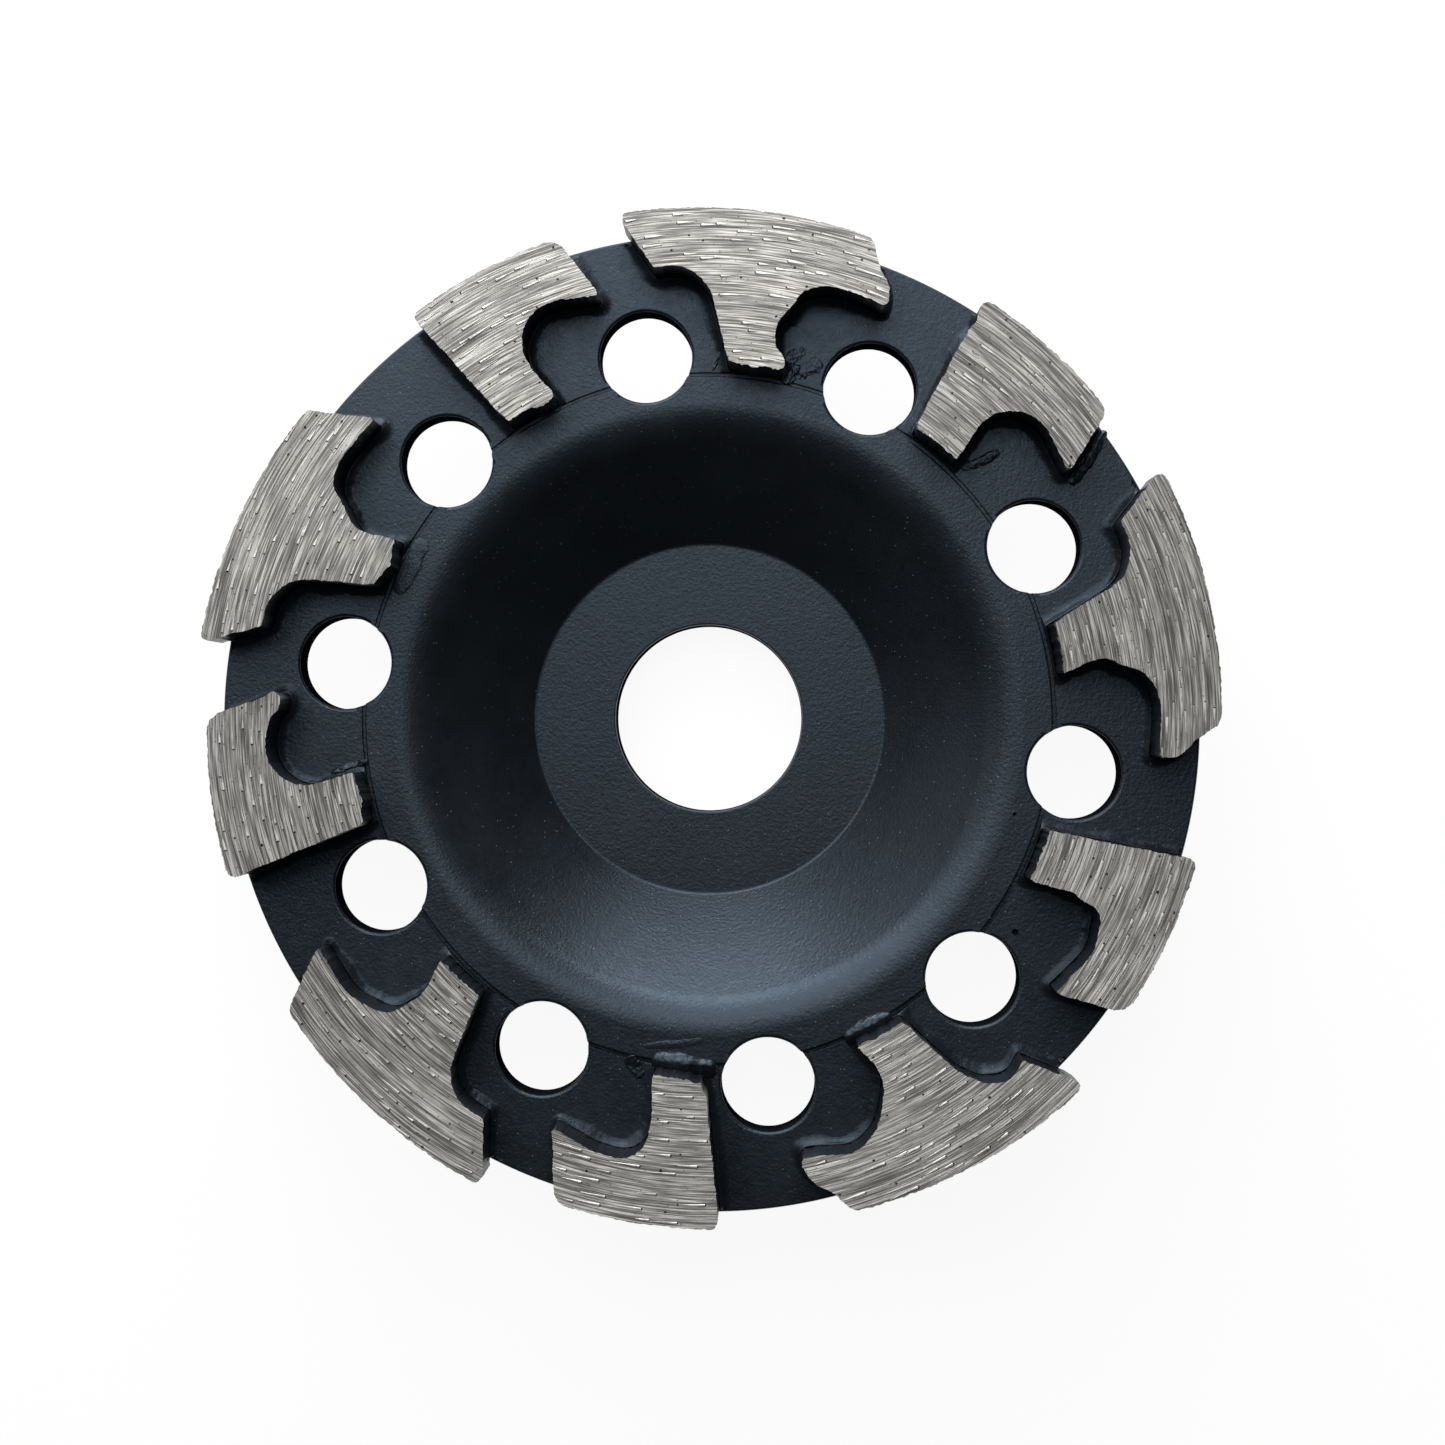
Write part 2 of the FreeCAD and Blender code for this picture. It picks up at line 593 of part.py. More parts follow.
at = tee_points()
TEE_CORNERS = [
    (at["left_corner"], "sizes.tee_left_round"),
    (at["right_corner"], "sizes.tee_right_round"),
    (at["left_tip"], "sizes.tip_radius"),
    (at["right_tip"], "sizes.tip_radius"),
    (at["foot_left"], "sizes.foot_corner_radius"),
    (at["foot_right"], "sizes.foot_corner_radius"),
]
at = ell_points()
ELL_CORNERS = [
    (at["left_corner"], "sizes.ell_left_round"),
    (at["right_corner"], "sizes.ell_right_round"),
    (at["tip"], "sizes.tip_radius"),
    (at["foot_left"], "sizes.foot_corner_radius"),
    (at["foot_right"], "sizes.foot_corner_radius"),
]

tees = [segment("tee", "t_segment_%d" % (i + 1), i, draw_tee, TEE_CORNERS) for i in range(5)]
ells = [segment("ell", "l_segment_%d" % (i + 1), i, draw_ell, ELL_CORNERS) for i in range(5)]


# The brazed joints: a thin film under each segment and a fillet of braze round its foot.
# The braze stops at the relief on the inside and at the rim chamfer on the outside.
def tube_of_seat():
    outer = doc.addObject("Part::Cylinder", "seat_limit")
    outer.setExpression("Radius", RIM + " - sizes.rim_chamfer")
    inner = doc.addObject("Part::Cylinder", "relief_limit")
    inner.setExpression("Radius", RELIEF)
    for limit in (outer, inner):
        limit.setExpression("Height", "sizes.braze_film + sizes.braze_height")
        limit.setExpression("Placement.Base.z", "sizes.seat_height")
    tube = doc.addObject("Part::Cut", "seat_tube")
    tube.Base = outer
    tube.Tool = inner
    return tube


tube = tube_of_seat()


def braze_spread(kind, draw):
    """The outline of a segment, spread by the leg of the braze fillet."""
    outline = doc.addObject("Sketcher::SketchObject", kind + "_braze_outline")
    draw(outline)
    doc.recompute()
    spread = doc.addObject("Part::Offset2D", kind + "_braze_spread")
    spread.Source = outline
    spread.Join = "Arc"
    spread.setExpression("Value", "sizes.braze_leg")
    doc.recompute()
    return spread


def braze_joint(number, kind, index, spread, body):
    """A bank that draws in as it rises, cut to the seat and hollowed by its segment."""
    bank = doc.addObject("Part::Extrusion", "braze_bank_%d" % number)
    bank.Base = spread
    bank.DirMode = "Custom"
    bank.Dir = FreeCAD.Vector(0, 0, 1)
    bank.Solid = True
    bank.setExpression("LengthFwd", "sizes.braze_film + sizes.braze_height")
    bank.setExpression("TaperAngle", "-atan((sizes.braze_leg - sizes.braze_lip) / "
                       "(sizes.braze_film + sizes.braze_height))")
    place_on_ring(bank, kind, index, seat)
    bank.setExpression("Placement.Base.z", "sizes.seat_height")
    on_seat = doc.addObject("Part::Common", "braze_on_seat_%d" % number)
    on_seat.Base = bank
    on_seat.Tool = tube
    joint = doc.addObject("Part::Cut", "braze_joint_%d" % number)
    joint.Label = "braze_joint_%d" % number
    joint.Base = on_seat
    joint.Tool = body
    return joint


joints = []
for kind, draw, segments in (("tee", draw_tee, tees), ("ell", draw_ell, ells)):
    spread = braze_spread(kind, draw)
    for index, body in enumerate(segments):
        joints.append(braze_joint(len(joints) + 1, kind, index, spread, body))
doc.recompute()

subparts = [cup] + tees + ells + joints
for thing in doc.Objects:
    if "Invalid" in thing.State or "Error" in thing.State:
        raise RuntimeError("%s is not sound: %s" % (thing.Label, thing.State))
for thing in subparts:
    shape = thing.Shape
    if shape.isNull() or not shape.isValid() or len(shape.Solids) != 1:
        raise RuntimeError("%s has no sound single solid" % thing.Label)
for thing in subparts:
    thing.Shape.exportStep(os.path.join("parts", thing.Label + ".step"))
print("wrote %d parts" % len(subparts))
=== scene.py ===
import json
import math
import random

import bmesh
import bpy
from bpy.props import FloatProperty, FloatVectorProperty, IntProperty, PointerProperty
from mathutils import Matrix, Vector, noise
from mathutils.bvhtree import BVHTree


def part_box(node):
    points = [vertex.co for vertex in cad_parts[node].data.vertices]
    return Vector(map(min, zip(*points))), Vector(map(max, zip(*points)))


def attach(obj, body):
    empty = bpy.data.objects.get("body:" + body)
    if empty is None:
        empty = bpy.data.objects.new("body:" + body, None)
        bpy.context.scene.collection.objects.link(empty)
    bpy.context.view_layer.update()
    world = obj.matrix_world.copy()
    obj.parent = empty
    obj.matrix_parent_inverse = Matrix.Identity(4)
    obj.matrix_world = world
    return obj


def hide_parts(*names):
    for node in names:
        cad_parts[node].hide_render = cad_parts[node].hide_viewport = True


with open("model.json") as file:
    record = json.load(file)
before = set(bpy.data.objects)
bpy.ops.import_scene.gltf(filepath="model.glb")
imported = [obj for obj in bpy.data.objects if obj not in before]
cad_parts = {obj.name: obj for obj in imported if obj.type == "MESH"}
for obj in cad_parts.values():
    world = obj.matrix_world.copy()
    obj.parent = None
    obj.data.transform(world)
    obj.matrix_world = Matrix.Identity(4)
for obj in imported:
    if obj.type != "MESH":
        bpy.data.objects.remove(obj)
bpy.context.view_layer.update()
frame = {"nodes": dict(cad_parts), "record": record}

bl_info = {
    "name": "Diamond Cup Wheel Looks",
    "version": (1, 0, 0),
    "blender": (4, 5, 0),
    "location": "3D View > Sidebar > Cup Wheel",
    "description": "Dresses a diamond cup wheel: painted steel cup, brazed segments, exposed grit",
    "category": "Object",
}

CUP_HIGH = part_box("cup_body")[1]
BORE_RADIUS = frame["record"]["mounts"][0]["dims"]["r_mm"] / 1000
TEES = sorted(name for name in frame["nodes"] if name.startswith("t_segment"))
ELLS = sorted(name for name in frame["nodes"] if name.startswith("l_segment"))
JOINTS = sorted((name for name in frame["nodes"] if name.startswith("braze_joint")),
                key=lambda name: int(name.rsplit("_", 1)[1]))
MM = 0.001
# how near a face or an edge has to lie to the place that it is found by
NEAR = 0.05 * MM
# specular level of the paint on the turned steel, and on the braze and the segments' flanks
CUP_GLOSS = 0.52
BRAZE_GLOSS = 0.32
SPECK_COLOUR = (0.14, 0.155, 0.18)
# azimuth clockwise from Y and elevation of the side that the room's own light comes from
BRIGHT_SIDE = (-30, 5)
# strength of that light from the dark side, and from the bright side before it is scaled
DARK_ROOM = 0.03
BRIGHT_ROOM = 0.1


class CupSizes(bpy.types.PropertyGroup):
    """The turned and painted steel cup."""
    hub_thickness: FloatProperty(
        name="Hub thickness", description="Height of the hub face over the back",
        default=5.7 * MM, unit="LENGTH")
    face_width: FloatProperty(
        name="Hub face width", description="From the bore to the edge of the hub face",
        default=9.585 * MM, unit="LENGTH")
    face_step: FloatProperty(
        name="Hub face step", description="How far the hub face lies below the bowl's root",
        default=0.15 * MM, unit="LENGTH")
    bowl_width: FloatProperty(
        name="Bowl width", description="From the hub face to the land",
        default=15.8 * MM, unit="LENGTH")
    lip_radius: FloatProperty(
        name="Lip radius", description="Round between the bowl wall and the land",
        default=7.0 * MM, unit="LENGTH")
    root_radius: FloatProperty(
        name="Root radius", description="Round between the hub and the bowl wall",
        default=0.5 * MM, unit="LENGTH")
    wall: FloatProperty(
        name="Wall", description="Thickness of the bowl wall",
        default=4.8 * MM, unit="LENGTH")
    land_width: FloatProperty(
        name="Land width", description="Flat land from the lip to the shoulder",
        default=3.05 * MM, unit="LENGTH")
    shoulder_rise: FloatProperty(
        name="Shoulder rise", description="Height of the land over the segments' seat",
        default=0.5 * MM, unit="LENGTH")
    relief_width: FloatProperty(
        name="Relief width", description="Groove at the foot of the shoulder",
        default=0.45 * MM, unit="LENGTH")
    relief_depth: FloatProperty(
        name="Relief depth", description="Depth of that groove under the seat",
        default=0.4 * MM, unit="LENGTH")
    ring: FloatProperty(
        name="Ring thickness", description="Steel under the segments",
        default=5.0 * MM, unit="LENGTH")
    edge_break: FloatProperty(
        name="Edge break", description="Chamfer of the rim and the bore",
        default=0.3 * MM, unit="LENGTH")
    back_corner: FloatProperty(
        name="Back corner", description="Round at the edge of the back of the hub",
        default=2.5 * MM, unit="LENGTH")
    back_root: FloatProperty(
        name="Back root", description="Round where the back of the wall meets the ring",
        default=3.0 * MM, unit="LENGTH")
    hole_count: IntProperty(
        name="Dust holes", description="How many dust holes the ring has", default=10, min=1)
    hole_diameter: FloatProperty(
        name="Dust hole diameter", description="Width of each dust hole",
        default=10.7 * MM, unit="LENGTH")
    hole_offset: FloatProperty(
        name="Dust hole offset", description="From the shoulder out to the holes' centres",
        default=2.85 * MM, unit="LENGTH")
    hole_lead: FloatProperty(
        name="Dust hole lead", description="How far the first hole stands to the left of Y",
        default=math.radians(9.4), subtype="ANGLE")
    paint: FloatVectorProperty(
        name="Paint", description="Colour of the satin paint", subtype="COLOR", size=3,
        default=(0.0085, 0.0098, 0.0120), min=0, max=1)
    gloss: FloatVectorProperty(
        name="Gloss", description="Cast of the paint's reflections", subtype="COLOR", size=3,
        default=(0.58, 0.78, 1.0), min=0, max=1)


class SegmentSizes(bpy.types.PropertyGroup):
    """The ground tops, rough flanks and brazed feet of the segments."""
    outline_step: FloatProperty(
        name="Outline step", description="Spacing of the points along a segment's edge",
        default=0.26 * MM, unit="LENGTH")
    edge_wear: FloatProperty(
        name="Edge wear", description="How far the top edge has crumbled at most",
        default=0.3 * MM, unit="LENGTH")
    flank_roughness: FloatProperty(
        name="Flank roughness", description="Height of the bumps on the flanks",
        default=0.05 * MM, unit="LENGTH")
    # width of the strip along the top edge that carries the painted highlight
    burr_highlight_width: FloatProperty(
        name="Burr width", description="Bright strip along the top edge",
        default=0.11 * MM, unit="LENGTH")
    metal: FloatVectorProperty(
        name="Bond", description="Colour of the ground metal bond", subtype="COLOR", size=3,
        default=(0.30, 0.292, 0.276), min=0, max=1)
    braze_leg: FloatProperty(
        name="Braze leg", description="How far the braze spreads from the foot of a segment",
        default=1.15 * MM, unit="LENGTH")
    braze_height: FloatProperty(
        name="Braze height", description="How far the braze climbs up the flank",
        default=0.45 * MM, unit="LENGTH")


class GritSizes(bpy.types.PropertyGroup):
    """The diamonds in the ground tops and the tails of bond behind them."""
    spacing: FloatProperty(
        name="Spacing", description="Average distance from one diamond to the next",
        default=2.4 * MM, unit="LENGTH")
    crystal: FloatProperty(
        name="Crystal", description="Width of a diamond", default=0.42 * MM, unit="LENGTH")
    tail_length: FloatProperty(
        name="Tail length", description="Length of the longest tails",
        default=3.4 * MM, unit="LENGTH")
    tail_width: FloatProperty(
        name="Tail width", description="Width of a tail at its head",
        default=0.32 * MM, unit="LENGTH")
    proud: FloatProperty(
        name="Proud", description="How far the diamonds stand over the ground face",
        default=0.1 * MM, unit="LENGTH")
    seed: IntProperty(name="Seed", description="Start of the random placing", default=11)


class StageSizes(bpy.types.PropertyGroup):
    """Camera, floor and lights."""
    eye: FloatVectorProperty(
        name="Eye", description="Where the camera stands", subtype="XYZ", size=3,
        default=(7.03 * MM, -2.86 * MM, 321.97 * MM), unit="LENGTH")
    lean: FloatVectorProperty(
        name="Lean", description="How the camera leans from looking straight down",
        subtype="EULER", size=3, default=(math.radians(3.809), math.radians(3.475), 0.0))
    lens: FloatProperty(
        name="Lens", description="Focal length for a sensor 36 mm wide, in millimetres",
        default=65.75, min=1)
    shift: FloatVectorProperty(
        name="Shift", description="How far the frame is shifted across and up", size=2,
        default=(0.0799, -0.1081))
    floor_width: FloatProperty(
        name="Floor width", description="Width of the pale floor", default=8.0, unit="LENGTH")
    brightness: FloatProperty(
        name="Brightness", description="Scales all the softboxes together", default=1.2, min=0)


def new_material(name):
    """A fresh material, with its node tree, its shader and the object coordinates."""
    material = bpy.data.materials.new(name)
    material.use_nodes = True
    tree = material.node_tree
    tree.nodes.clear()
    output = tree.nodes.new("ShaderNodeOutputMaterial")
    shader = tree.nodes.new("ShaderNodeBsdfPrincipled")
    tree.links.new(shader.outputs["BSDF"], output.inputs["Surface"])
    coordinates = tree.nodes.new("ShaderNodeTexCoord")
    return material, tree, shader, coordinates.outputs["Object"]


def material_named(name, make, *values):
    """The material of that name, made the first time that it is asked for."""
    found = bpy.data.materials.get(name)
    return found if found else make(name, *values)


def shade(colour, factor):
    """A darker or a paler cast of a colour."""
    return tuple(min(1.0, part * factor) for part in colour)


def feed(tree, socket, value):
    """Links a socket to another node's output, or sets it to a plain value."""
    if isinstance(value, bpy.types.NodeSocket):
        tree.links.new(value, socket)
    else:
        socket.default_value = value


def calculate(tree, operation, first, second):
    """A Math node on outputs or plain numbers."""
    node = tree.nodes.new("ShaderNodeMath")
    node.operation = operation
    feed(tree, node.inputs[0], first)
    feed(tree, node.inputs[1], second)
    return node.outputs["Value"]


def vector_step(tree, operation, *values):
    """The outputs of a Vector Math node on other outputs or plain vectors."""
    node = tree.nodes.new("ShaderNodeVectorMath")
    node.operation = operation
    for socket, value in zip(node.inputs, values):
        feed(tree, socket, value)
    return node.outputs


def noise_field(tree, vector, scale, detail=2.0, roughness=0.5):
    """Smooth noise, with its scale in waves for each metre."""
    field = tree.nodes.new("ShaderNodeTexNoise")
    field.inputs["Scale"].default_value = scale
    field.inputs["Detail"].default_value = detail
    field.inputs["Roughness"].default_value = roughness
    tree.links.new(vector, field.inputs["Vector"])
    return field.outputs["Fac"]


def cell_field(tree, vector, scale):
    """Cells: how far a point is from its cell's middle, and the cell's random colour."""
    field = tree.nodes.new("ShaderNodeTexVoronoi")
    field.inputs["Scale"].default_value = scale
    tree.links.new(vector, field.inputs["Vector"])
    return field.outputs["Distance"], field.outputs["Color"]


def ramp(tree, value, stops):
    """A colour ramp from (place, colour) stops."""
    node = tree.nodes.new("ShaderNodeValToRGB")
    elements = node.color_ramp.elements
    while len(elements) < len(stops):
        elements.new(0.5)
    for element, (place, colour) in zip(elements, stops):
        element.position = place
        element.color = (*colour, 1.0)
    tree.links.new(value, node.inputs["Fac"])
    return node.outputs["Color"]


def spread(tree, value, source, target):
    """Maps one (low, high) range of a value to another, held at its ends."""
    node = tree.nodes.new("ShaderNodeMapRange")
    for name, number in zip(("From Min", "From Max", "To Min", "To Max"), (*source, *target)):
        node.inputs[name].default_value = number
    tree.links.new(value, node.inputs["Value"])
    return node.outputs["Result"]


def blend_colours(tree, factor, first, second):
    """Goes from the first colour to the second as the factor goes from 0 to 1."""
    node = tree.nodes.new("ShaderNodeMix")
    node.data_type = "RGBA"
    tree.links.new(factor, node.inputs["Factor"])
    for socket, colour in ((node.inputs["A"], first), (node.inputs["B"], second)):
        plain = not isinstance(colour, bpy.types.NodeSocket)
        feed(tree, socket, (*colour, 1.0) if plain else colour)
    return node.outputs["Result"]


def bump(tree, shader, layers):
    """Stacks bumps of (height socket, strength, depth in metres) on a shader."""
    normal = None
    for height, strength, depth in layers:
        node = tree.nodes.new("ShaderNodeBump")
        node.inputs["Strength"].default_value = strength
        node.inputs["Distance"].default_value = depth
        tree.links.new(height, node.inputs["Height"])
        if normal is not None:
            tree.links.new(normal, node.inputs["Normal"])
        normal = node.outputs["Normal"]
    tree.links.new(normal, shader.inputs["Normal"])


def polar(tree, vector, radial_scale, angular_scale):
    """Coordinates for streaks round the wheel's axis: stretched round it, with no seam."""
    flat = vector_step(tree, "MULTIPLY", vector, (1.0, 1.0, 0.0))["Vector"]
    radius = vector_step(tree, "LENGTH", flat)["Value"]
    rise = tree.nodes.new("ShaderNodeCombineXYZ")
    tree.links.new(calculate(tree, "MULTIPLY", radius, radial_scale), rise.inputs["Z"])
    unit = vector_step(tree, "NORMALIZE", flat)["Vector"]
    turned = vector_step(tree, "MULTIPLY", unit, (angular_scale,) * 3)["Vector"]
    return vector_step(tree, "ADD", turned, rise.outputs["Vector"])["Vector"]


def round_axis(tree, vector):
    """The direction that runs round the wheel's axis at each point."""
    turned = vector_step(tree, "CROSS_PRODUCT", (0.0, 0.0, 1.0), vector)["Vector"]
    return vector_step(tree, "NORMALIZE", turned)["Vector"]


def satin_paint(name, colour, gloss, level):
    """Satin blue-black paint with an orange-peel skin, a fine grain and a few pale specks."""
    material, tree, shader, place = new_material(name)
    tone = noise_field(tree, place, scale=160.0, detail=3.0)
    painted = ramp(tree, tone, [(0.3, shade(colour, 0.78)), (0.7, shade(colour, 1.2))])
    away, lot = cell_field(tree, place, scale=1500.0)
    chosen = calculate(tree, "GREATER_THAN", lot, 0.6)
    speck = calculate(tree, "MULTIPLY", spread(tree, away, (0.06, 0.12), (1.0, 0.0)), chosen)
    speckled = blend_colours(tree, speck, painted, SPECK_COLOUR)
    tree.links.new(speckled, shader.inputs["Base Color"])
    sheen = noise_field(tree, place, scale=900.0, detail=3.0)
    tree.links.new(spread(tree, sheen, (0.3, 0.7), (0.31, 0.40)), shader.inputs["Roughness"])
    shader.inputs["Specular IOR Level"].default_value = level
    shader.inputs["Specular Tint"].default_value = (*gloss, 1.0)
    peel = noise_field(tree, place, scale=2700.0)
    grain = noise_field(tree, place, scale=5200.0)
    bump(tree, shader, [(peel, 0.8, 0.05 * MM), (grain, 0.6, 0.02 * MM)])
    return material


def cup_paint(cup):
    """The paint of the turned steel and of the braze that ran onto it."""
    return material_named("satin_paint", satin_paint, tuple(cup.paint), tuple(cup.gloss), CUP_GLOSS)


def braze_paint(cup):
    """The same paint, duller, on the braze fillets and the segments' flanks."""
    return material_named("braze_paint", satin_paint, tuple(cup.paint), tuple(cup.gloss),
                          BRAZE_GLOSS)


def matt_paint(name, colour):
    """The thin dull paint inside the drilled holes, the bore and the groove, made darker than the
    satin paint as painted shade in those recesses.
    """
    material, tree, shader, place = new_material(name)
    tone = noise_field(tree, place, scale=700.0, detail=3.0)
    # darker colour than the satin paint: painted shade inside the recesses
    painted = ramp(tree, tone, [(0.3, shade(colour, 0.6)), (0.7, colour)])
    tree.links.new(painted, shader.inputs["Base Color"])
    shader.inputs["Roughness"].default_value = 0.9
    shader.inputs["Specular IOR Level"].default_value = 0.0
    bump(tree, shader, [(tone, 0.4, 0.04 * MM)])
    return material


def streaks(tree, place, radial_scale, angular_scale, detail=3.0, roughness=0.6):
    """Noise drawn out into long lines round the wheel's axis."""
    return noise_field(tree, polar(tree, place, radial_scale, angular_scale), 1.0, detail,
                       roughness)


def ground_bond(name, colour):
    """Ground metal bond: scratches that run round the axis, with darker and paler patches."""
    material, tree, shader, place = new_material(name)
    fine = streaks(tree, place, 6000.0, 9.0)
    broad = streaks(tree, place, 4000.0, 9.0)
    hairs = streaks(tree, place, 7200.0, 4.5, detail=2.0, roughness=0.5)
    patches = noise_field(tree, place, scale=380.0, detail=3.0)
    away = cell_field(tree, place, scale=1250.0)[0]
    deep = shade(colour, 0.32)
    streaked = ramp(tree, fine, [(0.37, deep), (0.5, colour), (0.63, shade(colour, 2.3))])
    evened = blend_colours(tree, spread(tree, broad, (0.35, 0.65), (0.0, 0.25)), streaked, colour)
    lined = blend_colours(tree, spread(tree, hairs, (0.38, 0.44), (0.85, 0.0)), evened,
                          shade(colour, 0.25))
    mottled = blend_colours(tree, spread(tree, patches, (0.5, 0.75), (0.0, 0.35)), lined, deep)
    # small dark dots in the bond: painted shade inside its pinholes
    shaded_pores = blend_colours(tree, spread(tree, away, (0.09, 0.15), (0.75, 0.0)), mottled,
                           shade(colour, 0.2))
    tree.links.new(shaded_pores, shader.inputs["Base Color"])
    shader.inputs["Metallic"].default_value = 0.40
    shader.inputs["Roughness"].default_value = 0.45
    shader.inputs["Anisotropic"].default_value = 0.8
    shader.inputs["Anisotropic Rotation"].default_value = 0.25
    tree.links.new(round_axis(tree, place), shader.inputs["Tangent"])
    bump(tree, shader, [(broad, 0.4, 0.05 * MM), (fine, 0.7, 0.05 * MM), (hairs, 0.6, 0.04 * MM)])
    return material


def burnished_burr(name, colour):
    """The thin strip where the wheel's wear has turned the edge of the bond over, painted near
    white as a highlight on that edge.
    """
    material, tree, shader, place = new_material(name)
    tone = noise_field(tree, place, scale=1800.0)
    # near-white colour on the edge strip: a painted highlight on the worn edge
    edge_highlight = ramp(tree, tone, [(0.3, colour), (0.48, (0.86, 0.85, 0.83))])
    tree.links.new(edge_highlight, shader.inputs["Base Color"])
    shader.inputs["Metallic"].default_value = 0.3
    shader.inputs["Roughness"].default_value = 0.38
    bump(tree, shader, [(tone, 0.4, 0.03 * MM)])
    return material


def smeared_bond(name):
    """The ridge of bond that a diamond shelters from wear, painted paler than the ground bond as a
    highlight.
    """
    material, tree, shader, place = new_material(name)
    tone = noise_field(tree, place, scale=700.0, detail=3.0)
    # paler colour than the ground bond: a painted highlight on the polished ridge
    ridge_highlight_tone = ramp(tree, tone, [(0.38, (0.34, 0.33, 0.31)), (0.62, (0.70, 0.69, 0.67))])
    tree.links.new(ridge_highlight_tone, shader.inputs["Base Color"])
    shader.inputs["Metallic"].default_value = 0.4
    shader.inputs["Roughness"].default_value = 0.35
    bump(tree, shader, [(tone, 0.4, 0.02 * MM)])
    return material


def diamond_grit(name):
    """Dark diamond with a glass-like gloss and a faint yellowish cast: partly its own dark tone,
    partly painted shade of the pit round it.
    """
    material, tree, shader, place = new_material(name)
    tone = noise_field(tree, place, scale=2600.0)
    # near-black colour: the diamond's own dark tone together with painted shade of its pit
    dark_and_pit_shade = ramp(tree, tone, [(0.3, (0.006, 0.006, 0.006)), (0.7, (0.03, 0.03, 0.027))])
    tree.links.new(dark_and_pit_shade, shader.inputs["Base Color"])
    shader.inputs["Roughness"].default_value = 0.2
    return material


def white_floor(name):
    """A pale floor that shows as white and still keeps a faint shadow."""
    material, tree, shader = new_material(name)[:3]
    shader.inputs["Base Color"].default_value = (0.9, 0.9, 0.9, 1.0)
    shader.inputs["Roughness"].default_value = 0.9
    white = tree.nodes.new("ShaderNodeEmission")
    white.inputs["Strength"].default_value = 1.03
    rays = tree.nodes.new("ShaderNodeLightPath")
    seen = rays.outputs["Is Camera Ray"]
    for kind in ("Is Glossy Ray", "Is Transmission Ray"):
        seen = calculate(tree, "MAXIMUM", seen, rays.outputs[kind])
    mix = tree.nodes.new("ShaderNodeMixShader")
    tree.links.new(spread(tree, seen, (0.0, 1.0), (0.0, 0.9)), mix.inputs["Fac"])
    tree.links.new(shader.outputs["BSDF"], mix.inputs[1])
    tree.links.new(white.outputs["Emission"], mix.inputs[2])
    output = next(node for node in tree.nodes if node.type == "OUTPUT_MATERIAL")
    tree.links.new(mix.outputs["Shader"], output.inputs["Surface"])
    return material


def heading(azimuth, elevation):
    """The direction at an azimuth clockwise from Y and an elevation, both in degrees."""
    turn = math.radians(azimuth)
    rise = math.radians(elevation)
    return Vector((math.sin(turn) * math.cos(rise), math.cos(turn) * math.cos(rise),
                   math.sin(rise)))


def room_light(brightness):
    """Soft light that grows toward the side of the room where the window is."""
    world = bpy.data.worlds.new("room_light")
    world.use_nodes = True
    tree = world.node_tree
    way = tree.nodes.new("ShaderNodeTexCoord").outputs["Generated"]
    toward = vector_step(tree, "DOT_PRODUCT", way, heading(*BRIGHT_SIDE))["Value"]
    held = spread(tree, toward, (0.0, 1.0), (0.0, 1.0))
    curve = calculate(tree, "POWER", held, 2.0)
    strength = spread(tree, curve, (0.0, 1.0), (DARK_ROOM, BRIGHT_ROOM * brightness))
    tree.links.new(strength, tree.nodes["Background"].inputs["Strength"])
    tree.nodes["Background"].inputs["Color"].default_value = (1, 1, 1, 1)
    return world


def softbox(scene, brightness, name, azimuth, elevation, distance, width, height, radiance):
    """A rectangular lamp that faces the wheel and isn't seen itself."""
    lamp = bpy.data.lights.new(name, "AREA")
    lamp.shape = "RECTANGLE"
    lamp.size = width
    lamp.size_y = height
    lamp.energy = radiance * brightness * math.pi * width * height
    box = bpy.data.objects.new(name, lamp)
    scene.collection.objects.link(box)
    way = heading(azimuth, elevation)
    box.location = way * distance
    box.rotation_euler = way.to_track_quat("Z", "Y").to_euler()
    box.visible_camera = False


def mesh_object(name, bm):
    """Turns a bmesh into an object at the origin."""
    mesh = bpy.data.meshes.new(name)
    bm.to_mesh(mesh)
    bm.free()
    made = bpy.data.objects.new(name, mesh)
    bpy.context.scene.collection.objects.link(made)
    return made


def new_piece(name, bm, materials, sharp_angle):
    """A finished piece, smooth up to an angle, that rides on the wheel."""
    piece = mesh_object(name, bm)
    for material in materials:
        piece.data.materials.append(material)
    for face in piece.data.polygons:
        face.use_smooth = True
    piece.data.set_sharp_from_angle(angle=sharp_angle)
    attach(piece, "root")
    return piece


def shoulder_radius(cup):
    """Where the land ends and steps down to the segments' seat."""
    return BORE_RADIUS + cup.face_width + cup.bowl_width + cup.land_width


def hole_centre(cup, index):
    """The middle of a dust hole. They are counted clockwise from the first one left of Y."""
    turn = 2 * math.pi * index / cup.hole_count - cup.hole_lead
    pitch = shoulder_radius(cup) + cup.hole_offset
    return Vector((pitch * math.sin(turn), pitch * math.cos(turn), CUP_HIGH.z / 2))


def nearest_hole(cup, spot):
    """Which dust hole's line a place lies nearest to, and by how much it misses that line."""
    step = 2 * math.pi / cup.hole_count
    turn = (math.atan2(spot.x, spot.y) + cup.hole_lead) / step
    return round(turn), abs(turn - round(turn)) * step


def bowl_slope(cup):
    """The slope of the bowl wall that touches both the lip round and the root round."""
    land = CUP_HIGH.z
    floor = cup.hub_thickness + cup.face_step
    across = cup.bowl_width
    up = (land - cup.lip_radius) - (floor + cup.root_radius)
    gap = math.hypot(across, up)
    swing = math.asin((cup.lip_radius + cup.root_radius) / gap)
    return math.atan2(up, across) + swing


